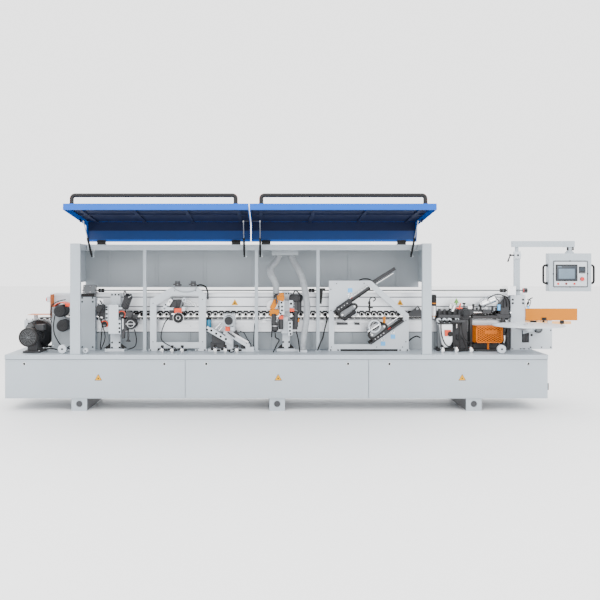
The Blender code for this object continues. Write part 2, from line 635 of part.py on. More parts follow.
def infeed(root, white, orange, steel):
    stand = box("infeed_stand", (2.577, 0.430, DECK + GAP), (2.690, 0.490, 0.8227), root)
    join(
        stand,
        box("face_plate", (2.576, 0.440, 0.820), (2.726, 0.4905, 1.1425), root),
        box("idler_housing", (2.770, 0.440, 0.572), (3.012, 0.470, 0.788), root),
        box("stand_link", (2.680, 0.440, 0.5725), (2.800, 0.468, 0.640), root),
        box("coil_arm", (2.612, -0.010, 0.795), (2.661, 0.440, 0.815), root),
        rod("coil_hub", (2.636, 0.03, 0.800), (2.636, 0.03, 0.8497), 0.035, root, 14),
        box("fence_rail", (2.965, 0.445, 0.730), (3.010, 0.469, 0.8747), root),
    )
    axle = pivot("coil_disc_axis", (2.636, 0.03, 0.8500), parent=root)
    disc = rod("coil_disc", (0, 0, 0), (0, 0, 0.008), 0.352, axle, 48)
    fence_slide = pivot("fence_slide", (2.98, 0.45, 0.875), parent=root)
    fence = box("infeed_fence", (-0.250, -0.022, 0.0), (0.292, 0.000, 0.125), fence_slide)
    join(fence, box("fence_foot", (-0.240, -0.022, 0.0), (0.200, 0.019, 0.016), fence_slide))
    paint(white, stand)
    paint(steel, disc)
    paint(orange, fence)


def push_button(name, face, place, radius, travel, root, cap=None):
    """A sprung button whose stem runs in a blind hole of the panel."""
    axis = pivot(f"{name}_axis", (place[0], face, place[1]), parent=root)
    stand_off = travel + 0.002
    stem = cap or radius
    button = rod(name, (0, -stand_off, 0), (0, 0.008, 0), stem, axis, 12)
    if cap:
        join(button, rod("head", (0, -stand_off - 0.014, 0), (0, -stand_off, 0), radius, axis, 14))
    return button


def pendant(root, white, red):
    post_axis = (2.650, 0.479)
    post = box("pendant_post", (2.620, 0.460, 1.1428), (2.680, 0.498, 1.600), root)
    join(post, rod("post_head", (*post_axis, 1.590), (*post_axis, 1.6465), 0.019, root, 16))
    swing = pivot("pendant_arm_axis", (*post_axis, 1.6468), parent=root)
    arm = box("pendant_arm", (-0.050, -0.030, 0.0), (0.600, 0.030, 0.063), swing)
    neck = (0.557, 0.0)
    join(arm, rod("neck", (*neck, -0.040), (*neck, 0.010), 0.026, swing, 16))
    turn = pivot("panel_axis", (*neck, -0.0403), parent=swing)
    panel = box("control_panel", (-0.235, -0.059, -0.427), (0.210, 0.051, -0.026), turn)
    join(panel, rod("collar", (0, 0, -0.030), (0, 0, 0.0), 0.034, turn, 16))
    for near, far in ((-0.230, -0.290), (0.205, 0.268)):
        low, high = sorted((near, far))
        edge = far + 0.024 if far < 0 else far - 0.024
        inner, outer = sorted((far, edge))
        join(
            panel,
            box("handle_top", (low, -0.020, -0.165), (high, 0.010, -0.140), turn),
            box("handle_foot", (low, -0.020, -0.355), (high, 0.010, -0.330), turn),
            box("handle_grip", (inner, -0.0185, -0.345), (outer, 0.0085, -0.150), turn),
        )
    face = -0.059
    buttons = []
    for name, across in (("left", -0.140), ("middle", -0.055), ("right", 0.030)):
        place = (across, -0.346)
        bore_end = (across, face + 0.014, place[1])
        cut(panel, rod("bore", (across, face - 0.01, place[1]), bore_end, 0.0125, turn, 12))
        buttons.append(push_button(f"panel_button_{name}", face, place, 0.0110, 0.003, turn))
    place = (0.110, -0.296)
    bore_end = (place[0], face + 0.016, place[1])
    cut(panel, rod("bore", (place[0], face - 0.01, place[1]), bore_end, 0.0105, turn, 12))
    buttons.append(push_button("panel_stop", face, place, 0.020, 0.005, turn, 0.009))
    paint(white, post, arm, panel)
    paint(red, *buttons)


def build():
    clear_scene()
    lid_edge = HINGE[0] + (LID_FLANGE - LID_REACH) * math.cos(LID_OPEN) - LID_DROP * math.sin(LID_OPEN)
    middle = ((BASE_LEFT + RIGHT_END) / 2, (lid_edge + BASE_DEPTH + 0.010) / 2)
    root = pivot("machine_origin", (-middle[0], -middle[1], 0.0))
    white = material("white_paint", (0.80, 0.82, 0.84), 0.45)
    grey = material("grey_paint", (0.55, 0.57, 0.60), 0.5)
    blue = material("blue_paint", (0.02, 0.14, 0.42), 0.35)
    dark = material("dark_paint", (0.06, 0.065, 0.07), 0.45)
    black = material("black_plastic", (0.015, 0.015, 0.017), 0.4)
    steel = material("bright_steel", (0.70, 0.72, 0.74), 0.3, 0.9)
    orange = material("orange_paint", (0.85, 0.35, 0.03), 0.4)
    red = material("red_plastic", (0.60, 0.02, 0.02), 0.35)
    base(root, white, black)
    enclosure(root, white, grey)
    lids(root, blue, black)
    struts(root, black, steel)
    conveyor(root, steel, white, black, dark)
    pressure_beam(root, steel, white)
    outfeed(root, orange, dark, red)
    scraper(root, white, dark)
    rounding(root, white, dark)
    fine_trimming(root, white)
    rough_trimming(root, white, dark, grey)
    end_cutting(root, white, dark)
    gluing(root, dark, orange)
    infeed(root, white, orange, steel)
    pendant(root, white, red)


build()
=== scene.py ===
"""Looks of the edge banding machine. Places are in line coordinates, in metres: X from the middle
of the line's datum, Y from the base's front face, Z from the floor."""

import math

import bmesh
import bpy
from mathutils import Matrix, Vector


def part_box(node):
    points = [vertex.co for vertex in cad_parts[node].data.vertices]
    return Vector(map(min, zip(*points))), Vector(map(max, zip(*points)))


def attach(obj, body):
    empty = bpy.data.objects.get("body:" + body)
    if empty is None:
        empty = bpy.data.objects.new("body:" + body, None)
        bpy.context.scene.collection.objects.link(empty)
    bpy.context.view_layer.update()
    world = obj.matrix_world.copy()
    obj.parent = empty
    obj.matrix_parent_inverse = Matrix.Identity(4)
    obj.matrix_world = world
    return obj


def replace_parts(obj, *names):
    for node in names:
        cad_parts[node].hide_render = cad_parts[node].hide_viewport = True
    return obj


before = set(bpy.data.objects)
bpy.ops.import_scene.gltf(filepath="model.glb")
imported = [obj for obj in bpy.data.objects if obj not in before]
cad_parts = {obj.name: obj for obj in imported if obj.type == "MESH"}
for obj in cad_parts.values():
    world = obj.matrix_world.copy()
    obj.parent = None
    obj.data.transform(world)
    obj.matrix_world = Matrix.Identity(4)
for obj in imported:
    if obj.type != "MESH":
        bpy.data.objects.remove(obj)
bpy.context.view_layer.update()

DECK_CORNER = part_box("base_top_plate")[0]
LINE = Matrix.Translation((DECK_CORNER[0] + 2.61, DECK_CORNER[1] + 0.014, 0.0))
DECK = 0.563
GAP = 0.0006
ALONG = Vector((1.0, 0.0, 0.0))
FRONT = Vector((0.0, -1.0, 0.0))
UP = Vector((0.0, 0.0, 1.0))

HINGE = (0.3, 1.7)
LID_OPEN = math.radians(96.0)
SHARP_ANGLE = math.radians(32)
BEVEL_ANGLE = math.radians(50)
LID_SPANS = {"left": (-1.852, -0.161), "right": (-0.149, 1.558)}
HANDLE_SPANS = {"left": (-1.784, -0.279), "right": (-0.043, 1.464)}
LID_REACH = 0.215
LID_DROP = 1.0645
LID_FLANGE = 0.057
STRUT_FOOT = (0.36, 1.549)
STRUT_EYE = (-0.16, -0.366)
STRUT_PLACES = (-1.815, -0.225, -0.06, 1.512)
CHAIN_TOP = 0.897
CHAIN_THICK = 0.022
SPROCKET_RADIUS = 0.14
SHAFT_HEIGHT = CHAIN_TOP - CHAIN_THICK - SPROCKET_RADIUS
DRIVE_X = -2.387
IDLER_X = 2.885
DISC_X = 2.636
PANEL_MOVE = Matrix.Translation((0.027, 0.0, 0.0))
EYE_PLACE = (0.0, -8.4, 1.51)
FOOT_CENTRES = (-1.868, 0.112, 2.08)
CABLE_STEPS = 8


def camera():
    """Stands level in front of the machine, 8.4 m from the base."""
    data = bpy.data.cameras.new("camera")
    data.lens = 50.4
    data.shift_x = 0.0567
    data.shift_y = -0.0667
    eye = bpy.data.objects.new("camera", data)
    eye.matrix_world = LINE @ Matrix.Translation(EYE_PLACE) @ Matrix.Rotation(math.pi / 2, 4, "X")
    bpy.context.scene.collection.objects.link(eye)
    bpy.context.scene.camera = eye


def nodes_for(name):
    made = bpy.data.materials.new(name)
    made.use_nodes = True
    tree = made.node_tree
    return made, tree, tree.nodes["Principled BSDF"]


def spotted(tree, scale, detail, stretch=(1.0, 1.0, 1.0)):
    """A noise in the piece's own coordinates."""
    place = tree.nodes.new("ShaderNodeTexCoord")
    mapping = tree.nodes.new("ShaderNodeMapping")
    mapping.inputs["Scale"].default_value = stretch
    spots = tree.nodes.new("ShaderNodeTexNoise")
    spots.inputs["Scale"].default_value = scale
    spots.inputs["Detail"].default_value = detail
    tree.links.new(place.outputs["Object"], mapping.inputs["Vector"])
    tree.links.new(mapping.outputs["Vector"], spots.inputs["Vector"])
    return spots


def coat(name, colour, roughness=0.4, metallic=0.0, grain=220.0, bump=0.04, vary=0.05, stretch=(1, 1,
    1), worn=None, gloss=0.5):
    """A finish with cloudy colour, fine grain in the surface and rubbed edges."""
    made, tree, shader = nodes_for(name)
    shader.inputs["Metallic"].default_value = metallic
    shader.inputs["Specular IOR Level"].default_value = gloss
    clouds = spotted(tree, 2.6, 5.0, stretch)
    ramp = tree.nodes.new("ShaderNodeValToRGB")
    ramp.color_ramp.elements[0].position = 0.3
    ramp.color_ramp.elements[1].position = 0.7
    ramp.color_ramp.elements[0].color = (*[c * (1 - vary) for c in colour], 1.0)
    ramp.color_ramp.elements[1].color = (*[min(1.0, c * (1 + vary)) for c in colour], 1.0)
    tree.links.new(clouds.outputs["Fac"], ramp.inputs["Fac"])
    tint = ramp.outputs["Color"]
    if worn:
        edge = tree.nodes.new("ShaderNodeNewGeometry")
        limit = tree.nodes.new("ShaderNodeMapRange")
        limit.inputs["From Min"].default_value = 0.54
        limit.inputs["From Max"].default_value = 0.62
        mix = tree.nodes.new("ShaderNodeMix")
        mix.data_type = "RGBA"
        mix.inputs["B"].default_value = (*worn, 1.0)
        tree.links.new(edge.outputs["Pointiness"], limit.inputs["Value"])
        tree.links.new(limit.outputs["Result"], mix.inputs["Factor"])
        tree.links.new(tint, mix.inputs["A"])
        tint = mix.outputs["Result"]
    tree.links.new(tint, shader.inputs["Base Color"])
    smear = spotted(tree, 9.0, 4.0, stretch)
    spread = tree.nodes.new("ShaderNodeMapRange")
    spread.inputs["To Min"].default_value = max(0.05, roughness - 0.08)
    spread.inputs["To Max"].default_value = min(1.0, roughness + 0.1)
    tree.links.new(smear.outputs["Fac"], spread.inputs["Value"])
    tree.links.new(spread.outputs["Result"], shader.inputs["Roughness"])
    fine = spotted(tree, grain, 2.0, stretch)
    relief = tree.nodes.new("ShaderNodeBump")
    relief.inputs["Strength"].default_value = bump
    relief.inputs["Distance"].default_value = 0.002
    tree.links.new(fine.outputs["Fac"], relief.inputs["Height"])
    tree.links.new(relief.outputs["Normal"], shader.inputs["Normal"])
    return made


WHITE = coat("white_powder_coat", (0.355, 0.4, 0.44), 0.45, grain=420.0, bump=0.08, vary=0.025)
PLATE = coat("pale_machined_paint", (0.5, 0.54, 0.58), 0.38, grain=300.0, bump=0.06, vary=0.03)
GREY = coat("grey_wall_paint", (0.27, 0.3, 0.325), 0.5, grain=360.0, bump=0.08, vary=0.03)
MID_GREY = coat("mid_grey_paint", (0.115, 0.125, 0.135), 0.45, grain=300.0, bump=0.08, vary=0.06)
BLUE = coat("blue_lid_paint", (0.001, 0.078, 0.4), 0.42, grain=380.0, bump=0.05, vary=0.05, gloss=0.2)
# Painted shade: a darker copy of the blue lid paint, for the shaded underside of the lid's top sheet.
SHADED_BLUE = coat(
    "blue_painted_shade", (0.002, 0.026, 0.12), 0.45, grain=380.0, bump=0.06, vary=0.06, gloss=0.25,
)
# Painted highlight: a lighter copy of the blue lid paint, for the lit front lip of the lid.
LIT_BLUE = coat("blue_lip_painted_highlight", (0.001, 0.1, 0.46), 0.4, grain=380.0, bump=0.05, vary=0.04, gloss=0.2)
# Painted shade: a near-black navy copy of the blue lid paint, for the shaded underside of the lid's front
# sheet and its ribs.
PAINTED_SHADE_NAVY = coat("navy_painted_shade", (0.0008, 0.0055, 0.03), 0.7, grain=500.0, bump=0.1, vary=0.1, gloss=0.25)
DARK = coat(
    "dark_cast_paint", (0.009, 0.01, 0.012), 0.52, grain=160.0, bump=0.22, vary=0.25,
    worn=(0.07, 0.07, 0.075), gloss=0.35,
)
BLACK = coat("black_moulding", (0.0035, 0.0035, 0.004), 0.48, grain=500.0, bump=0.1, vary=0.15, gloss=0.3)
RUBBER = coat("black_rubber", (0.006, 0.006, 0.0065), 0.75, grain=240.0, bump=0.3, vary=0.2, gloss=0.25)
STEEL = coat("ground_steel", (0.6, 0.61, 0.63), 0.28, 1.0, 120.0, 0.05, 0.05, (1, 1, 14))
BRIGHT = coat("bright_plated_steel", (0.78, 0.79, 0.8), 0.18, 1.0, 200.0, 0.03, 0.04)
ALLOY = coat("drawn_aluminium", (0.7, 0.72, 0.75), 0.34, 0.75, 160.0, 0.04, 0.03, (0.05, 6, 6))
ORANGE = coat("orange_enamel", (0.52, 0.12, 0.0), 0.42, grain=300.0, bump=0.05, vary=0.05, gloss=0.2)
AMBER = coat("amber_enamel", (0.5, 0.155, 0.0), 0.42, grain=300.0, bump=0.05, vary=0.04, gloss=0.2)
RED_ORANGE = coat("vermilion_enamel", (0.66, 0.045, 0.004), 0.38, grain=260.0, bump=0.06, vary=0.08)
RED = coat("red_switch_plastic", (0.55, 0.012, 0.012), 0.28, grain=500.0, bump=0.03, vary=0.05)
YELLOW = coat("yellow_sign_film", (0.62, 0.29, 0.0), 0.42, grain=400.0, bump=0.03, vary=0.03, gloss=0.2)
TAG_BLUE = coat("light_blue_plastic", (0.1, 0.42, 0.82), 0.35, grain=400.0, bump=0.03, vary=0.05)
PALE_AMBER = coat("pale_amber_enamel", (0.88, 0.46, 0.15), 0.4, grain=300.0, bump=0.04, vary=0.05)
TEAL = coat("blue_air_cylinder", (0.02, 0.22, 0.38), 0.35, grain=300.0, bump=0.05, vary=0.06)
GREEN = coat("green_fitting", (0.1, 0.26, 0.03), 0.4, grain=300.0, bump=0.05, vary=0.1)
SCREEN = coat("dark_screen_glass", (0.012, 0.02, 0.03), 0.1, grain=600.0, bump=0.0, vary=0.25)
SCREEN_PAGE = coat("screen_page", (0.1, 0.15, 0.2), 0.2, grain=600.0, bump=0.0, vary=0.3)
FELT = coat("white_polishing_cloth", (0.75, 0.74, 0.71), 0.9, grain=700.0, bump=0.6, vary=0.08)


def hose_material():
    """Cloudy, slightly clear plastic with a wire spiral under the skin."""
    made, tree, shader = nodes_for("clear_grey_hose")
    clouds = spotted(tree, 30.0, 4.0)
    ramp = tree.nodes.new("ShaderNodeValToRGB")
    ramp.color_ramp.elements[0].color = (0.25, 0.27, 0.29, 1.0)
    ramp.color_ramp.elements[1].color = (0.5, 0.53, 0.56, 1.0)
    tree.links.new(clouds.outputs["Fac"], ramp.inputs["Fac"])
    tree.links.new(ramp.outputs["Color"], shader.inputs["Base Color"])
    shader.inputs["Roughness"].default_value = 0.3
    shader.inputs["Transmission Weight"].default_value = 0.25
    return made


HOSE = hose_material()


class Kit:
    """Gathers the shapes of one finish on one body, and makes one piece of them."""

    def __init__(self, name, body, finish, frame_at=None, bevel=0.0015):
        self.name = name
        self.body = body
        self.finish = finish
        self.frame_at = frame_at or Matrix()
        self.bevel = bevel
        self.shape = bmesh.new()

    def box(self, low, high, turn=None):
        """A block between two corners, turned about its middle by turn = (angle, axis)."""
        size = [top - bottom for bottom, top in zip(low, high)]
        middle = [(bottom + top) / 2 for bottom, top in zip(low, high)]
        spot = Matrix.Translation(middle)
        if turn:
            spot = spot @ Matrix.Rotation(turn[0], 4, turn[1])
        bmesh.ops.create_cube(self.shape, size=1.0, matrix=spot @ Matrix.Diagonal((*size, 1.0)))
        return self

    def bar(self, start, end, radius, sides=24, end_radius=None):
        """A round bar or cone from start to end."""
        start = Vector(start)
        end = Vector(end)
        turn = (end - start).to_track_quat("Z", "Y").to_matrix().to_4x4()
        bmesh.ops.create_cone(
            self.shape,
            cap_ends=True,
            segments=sides,
            radius1=radius,
            radius2=radius if end_radius is None else end_radius,
            depth=(end - start).length,
            matrix=Matrix.Translation((start + end) / 2) @ turn,
        )
        return self

    def ball(self, centre, radius):
        spot = Matrix.Translation(centre)
        bmesh.ops.create_uvsphere(self.shape, u_segments=20, v_segments=12, radius=radius, matrix=spot)
        return self

    def ring(self, centre, axis, radius, wire, turns=28, sides=10):
        """A torus about axis."""
        centre = Vector(centre)
        axis = Vector(axis).normalized()
        side = axis.orthogonal().normalized()
        across = axis.cross(side)
        loops = []
        for step in range(turns):
            angle = 2 * math.pi * step / turns
            out = side * math.cos(angle) + across * math.sin(angle)
            loop = []
            for point in range(sides):
                tilt = 2 * math.pi * point / sides
                place = centre + out * (radius + wire * math.cos(tilt)) + axis * wire * math.sin(tilt)
                loop.append(self.shape.verts.new(place))
            loops.append(loop)
        for step in range(turns):
            here, there = loops[step], loops[(step + 1) % turns]
            for point in range(sides):
                after = (point + 1) % sides
                self.shape.faces.new((here[point], there[point], there[after], here[after]))
        return self

    def pipe(self, points, radius, sides=12, wave=None):
        """A tube through points; wave(distance) changes its radius along the way."""
        points = [Vector(point) for point in points]
        loops = []
        normal = None
        travelled = 0.0
        for index, point in enumerate(points):
            before = points[max(0, index - 1)]
            after = points[min(len(points) - 1, index + 1)]
            ahead = (after - before).normalized()
            normal = ahead.orthogonal().normalized() if normal is None else normal
            normal = (normal - ahead * normal.dot(ahead)).normalized()
            side = ahead.cross(normal)
            travelled += (point - before).length if index else 0.0
            wide = radius + (wave(travelled) if wave else 0.0)
            loop = []
            for corner in range(sides):
                angle = 2 * math.pi * corner / sides
                place = point + (normal * math.cos(angle) + side * math.sin(angle)) * wide
                loop.append(self.shape.verts.new(place))
            loops.append(loop)
        for here, there in zip(loops, loops[1:]):
            for corner in range(sides):
                after = (corner + 1) % sides
                self.shape.faces.new((here[corner], here[after], there[after], there[corner]))
        self.shape.faces.new(list(reversed(loops[0])))
        self.shape.faces.new(loops[-1])
        return self

    def cables(self, radius, *paths):
        """A cable of this radius along each path."""
        for path in paths:
            self.pipe(smooth_route(path, CABLE_STEPS), radius, 10)
        return self

    def plate(self, outline, front, back, holes=()):
        """A flat outline in X and Z, from front to back in Y."""
        curve = bpy.data.curves.new("outline", "CURVE")
        curve.dimensions = "2D"
        curve.fill_mode = "BOTH"
        curve.extrude = (back - front) / 2
        for edge in (outline, *holes):
            spline = curve.splines.new("POLY")
            spline.points.add(len(edge) - 1)
            for point, (across, up) in zip(spline.points, edge):
                point.co = (across, up, 0.0, 1.0)
            spline.use_cyclic_u = True
        guide = bpy.data.objects.new("outline", curve)
        bpy.context.scene.collection.objects.link(guide)
        mesh = bpy.data.meshes.new_from_object(guide.evaluated_get(bpy.context.evaluated_depsgraph_get()))
        turn = Matrix.Translation((0.0, (front + back) / 2, 0.0)) @ Matrix.Rotation(math.pi / 2, 4, "X")
        mesh.transform(turn)
        self.shape.from_mesh(mesh)
        bmesh.ops.remove_doubles(self.shape, verts=self.shape.verts, dist=0.00002)
        bpy.data.objects.remove(guide, do_unlink=True)
        bpy.data.meshes.remove(mesh)
        return self

    def screw(self, place, axis=FRONT, radius=0.008, high=0.006):
        """A socket head screw standing out of a face at place, along axis."""
        place = Vector(place)
        axis = Vector(axis).normalized()
        self.bar(place, place + axis * high, radius, 16)
        rim = place + axis * (high - 0.0005)
        self.bar(rim, rim + axis * 0.0015, radius * 0.8, 16, radius * 0.62)
        return self

    def done(self):
        mesh = bpy.data.meshes.new(self.name)
        bmesh.ops.recalc_face_normals(self.shape, faces=self.shape.faces)
        self.shape.to_mesh(mesh)
        self.shape.free()
        mesh.transform(LINE @ self.frame_at)
        mesh.shade_smooth()
        mesh.set_sharp_from_angle(angle=SHARP_ANGLE)
        mesh.materials.append(self.finish)
        piece = bpy.data.objects.new(self.name, mesh)
        bpy.context.scene.collection.objects.link(piece)
        if self.bevel:
            soften(piece, self.bevel)
        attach(piece, self.body)
        return piece


def soften(piece, width, segments=2):
    rounding = piece.modifiers.new("soft_edges", "BEVEL")
    rounding.width = width
    rounding.segments = segments
    rounding.limit_method = "ANGLE"
    rounding.angle_limit = BEVEL_ANGLE
    rounding.use_clamp_overlap = True


def finish_node(name, finish, bevel=0.0):
    """Gives a CAD node its finish, and softens its edges."""
    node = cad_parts[name]
    node.data.materials.clear()
    node.data.materials.append(finish)
    if bevel:
        soften(node, bevel)


def smooth_route(knots, steps=4):
    """Points on a smooth curve through the knots."""
    knots = [Vector(knot) for knot in knots]
    ends = [knots[0], *knots, knots[-1]]
    route = []
    for index in range(len(knots) - 1):
        before, start, end, after = ends[index : index + 4]
        for step in range(steps):
            part = step / steps
            pull = (end - before) * (part - 2 * part**2 + part**3) / 2
            push = (after - start) * (part**3 - part**2) / 2
            mixed = 3 * part**2 - 2 * part**3
            route.append(start * (1 - mixed) + end * mixed + pull + push)
    route.append(knots[-1])
    return route


def circle(centre, radius, count, start=0.0):
    turns = [start + 2 * math.pi * index / count for index in range(count)]
    return [(centre[0] + radius * math.cos(a), centre[1] + radius * math.sin(a)) for a in turns]


def triangle(centre, half, low, high):
    """A warning triangle's corners in X and Z."""
    return [(centre - half, low), (centre + half, low), (centre, high)]


def base():
    for name in ("base_frame", "base_top_plate", "base_door_left", "base_door_middle", "base_door_right"):
        finish_node(name, WHITE, 0.003)
    doors = {"left": (-2.415, -1.015, -1.675), "middle": (-0.597, 0.82, 0.122),
        "right": (1.233, 2.621, 1.96)}
    for name, (first, last, sign) in doors.items():
        body = f"base_door_{name}"
        washers = Kit(f"{body}_lock_rings", body, BRIGHT)
        barrels = Kit(f"{body}_locks", body, BLACK)
        for across in (first, last):
            washers.ring((across, -0.011, 0.472), FRONT, 0.014, 0.0028)
            barrels.bar((across, -0.01, 0.472), (across, -0.0135, 0.472), 0.0125)
            barrels.box((across - 0.0095, -0.0138, 0.47), (across + 0.0095, -0.013, 0.474))
        washers.done()
        barrels.done()
        rim = Kit(f"{body}_sign_rim", body, BLACK, bevel=0)
        rim.plate(triangle(sign, 0.038, 0.306, 0.372), -0.0108, -0.0101).done()
        face = Kit(f"{body}_sign", body, YELLOW, bevel=0)
        face.plate(triangle(sign, 0.032, 0.31, 0.3655), -0.0114, -0.0107).done()
        mark = Kit(f"{body}_sign_mark", body, BLACK, bevel=0)
        mark.plate(circle((sign, 0.327), 0.007, 20), -0.0118, -0.0113).done()
        seam = Kit(f"{body}_edge", body, WHITE, bevel=0.001)
        low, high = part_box(body)
        shift = LINE.translation
        left, right = low[0] - shift.x + 0.012, high[0] - shift.x - 0.012
        for height in (0.14, 0.497):
            seam.box((left, -0.0116, height - 0.003), (right, -0.0095, height + 0.003))
        seam.done()
    finish_node("main_switch_knob", BLACK, 0.002)
    ridges = Kit("main_switch_ridges", "main_switch", RUBBER)
    for step in range(18):
        angle = 2 * math.pi * step / 18
        out = Vector((0.0, math.cos(angle), math.sin(angle))) * 0.0385
        spot = Vector((2.8185, 0.1, 0.23)) + out
        ridges.bar(spot, spot + ALONG * 0.021, 0.0025, 8)
    ridges.done()
    surround = Kit("main_switch_plate", "machine", BRIGHT, bevel=0)
    surround.ring((2.818, 0.1, 0.23), ALONG, 0.0465, 0.0022).done()
    feet = Kit("foot_edges", "machine", MID_GREY)
    for centre in FOOT_CENTRES:
        feet.ring((centre, 0.0035, 0.07), FRONT, 0.031, 0.0022)
    feet.done()
    # Painted shade: thin dark plates on both sides of each foot beam, and a dark disc in each foot's
    # hole, stand in for the shade there.
    sides = Kit("foot_side_painted_shade", "machine", DARK, bevel=0)
    for centre in FOOT_CENTRES:
        sides.bar((centre, 0.013, 0.07), (centre, 0.0157, 0.07), 0.0298)
        for edge in (centre - 0.0787, centre + 0.0777):
            sides.box((edge, 0.012, 0.003), (edge + 0.001, 0.772, 0.1255))
    sides.done()
    cover = Kit("deck_screws", "machine", STEEL, bevel=0.0006)
    for step in range(16):
        cover.screw((-2.56 + step * 0.355, 0.022, DECK), UP, 0.006, 0.0035)
    cover.done()


def enclosure():
    for name in ("side_frame_left", "side_frame_right", "beam_frame"):
        finish_node(name, WHITE, 0.003)
    finish_node("rear_wall", GREY, 0.002)
    seams = Kit("rear_wall_ribs", "machine", GREY, bevel=0.001)
    for step in range(7):
        across = -1.7 + step * 0.52
        if abs(across - 0.2) > 0.2:
            seams.box((across - 0.012, 0.69, 1.225), (across + 0.012, 0.6992, 1.655))
    seams.box((-1.85, 0.688, 1.216), (1.56, 0.699, 1.226)).done()
    feet = Kit("pillar_feet", "machine", WHITE)
    bolts = Kit("pillar_bolts", "machine", STEEL, bevel=0.0005)
    for left, right in ((-1.96, -1.86), (1.566, 1.658)):
        feet.box((left - 0.004, 0.002, DECK + GAP), (right + 0.004, 0.08, DECK + 0.01))
        for across in (left + 0.012, right - 0.012):
            bolts.screw((across, 0.07, DECK + 0.01), UP, 0.006, 0.004)
    for centre in (-1.26, -0.1, 0.54):
        feet.box((centre - 0.03, 0.3, DECK + GAP), (centre + 0.03, 0.385, DECK + 0.008))
        for across in (centre - 0.023, centre + 0.023):
            bolts.screw((across, 0.306, DECK + 0.008), UP, 0.005, 0.004)
    feet.done()
    bolts.done()
    leaves = Kit("hinge_leaves", "machine", BLACK)
    for centre in (-1.705, -0.31, 0.0, 1.405):
        leaves.box((centre - 0.046, 0.305, 1.672), (centre + 0.046, 0.311, 1.699))
        leaves.box((centre - 0.046, 0.305, 1.6706), (centre + 0.046, 0.36, 1.6752))
        leaves.bar((centre - 0.02, 0.3, 1.7), (centre + 0.02, 0.3, 1.7), 0.0085, 18)
    leaves.done()
    balls = Kit("strut_studs", "machine", BRIGHT)
    for place in STRUT_PLACES:
        balls.bar((place + 0.0125, *STRUT_FOOT), (place + 0.026, *STRUT_FOOT), 0.0055, 16)
    balls.done()


def lids():
    closed = Matrix.Translation((0.0, *HINGE)) @ Matrix.Rotation(-LID_OPEN, 4, "X")
    for name, (left, right) in LID_SPANS.items():
        body = f"lid_{name}"
        finish_node(body, BLUE, 0.0012)
        # Painted shade: a dark navy sheet under the lid's front and top sheets stands in for the shade on
        # the lid's underside.
        shade_lining = Kit(f"{body}_lining", body, PAINTED_SHADE_NAVY, closed, bevel=0)
        shade_lining.box(
            (left + 0.006, 0.0042 - LID_REACH, 0.018 - LID_DROP),
            (right - 0.006, 0.0054 - LID_REACH, -0.004),
        )
        shade_lining.box((left + 0.006, 0.0056 - LID_REACH, 0.0084), (right - 0.006, -0.115, 0.0098)).done()
        # Painted shade: a darker blue sheet under the top sheet near the hinge.
        inner = Kit(f"{body}_inner_shade_sheet", body, SHADED_BLUE, closed, bevel=0)
        inner.box((left + 0.006, -0.1148, 0.0086), (right - 0.006, -0.022, 0.0098)).done()
        # The ribs get the same dark navy painted shade as the sheet under the lid.
        ribs = Kit(f"{body}_ribs", body, PAINTED_SHADE_NAVY, closed)
        for step in range(4):
            across = left + 0.1 + step * (right - left - 0.2) / 3
            low = (across - 0.018, 0.004 - LID_REACH, 0.02 - LID_DROP)
            ribs.box(low, (across + 0.018, 0.02 - LID_REACH, -0.02))
        ribs.box((left + 0.02, 0.004 - LID_REACH, -0.52), (right - 0.02, 0.018 - LID_REACH, -0.48))
        ribs.done()
        # Painted highlight: the lip is a lighter blue to stand for the light on the lid's front edge.
        lip = Kit(f"{body}_lip_edge", body, LIT_BLUE, closed)
        low = (left + 0.004, LID_FLANGE - LID_REACH - 0.006, 0.004 - LID_DROP)
        lip.box(low, (right - 0.004, LID_FLANGE - LID_REACH, 0.016 - LID_DROP)).done()
        seal = Kit(f"{body}_seal", body, RUBBER, closed, bevel=0.001)
        seal.box(
            (left + 0.02, 0.006 - LID_REACH, 0.004 - LID_DROP),
            (right - 0.02, 0.016 - LID_REACH, 0.012 - LID_DROP),
        )
        seal.done()
        leaf = Kit(f"{body}_hinges", body, BLACK, closed)
        for centre in {"left": (-1.705, -0.31), "right": (0.0, 1.405)}[name]:
            leaf.box((centre - 0.046, -0.018, 0.004), (centre + 0.046, -0.004, 0.0096))
            leaf.bar((centre - 0.046, 0, 0), (centre - 0.021, 0, 0), 0.0085, 18)
            leaf.bar((centre + 0.021, 0, 0), (centre + 0.046, 0, 0), 0.0085, 18)
        leaf.done()
        eyes = Kit(f"{body}_strut_studs", body, DARK, closed)
        plates = Kit(f"{body}_strut_plates", body, BLACK, closed)
        for place in STRUT_PLACES[:2] if name == "left" else STRUT_PLACES[2:]:
            wall = left + 0.004 if abs(place - left) < abs(place - right) else right - 0.004
            side = 1 if wall > place else -1
            eyes.bar((place + side * 0.01, *STRUT_EYE), (wall, *STRUT_EYE), 0.005, 16)
            inner, outer = sorted((wall, wall - side * 0.003))
            low = (inner, STRUT_EYE[0] - 0.022, STRUT_EYE[1] - 0.03)
            plates.box(low, (outer, STRUT_EYE[0] + 0.012, STRUT_EYE[1] + 0.03))
        eyes.done()
        plates.done()
        handle(name, body, closed)


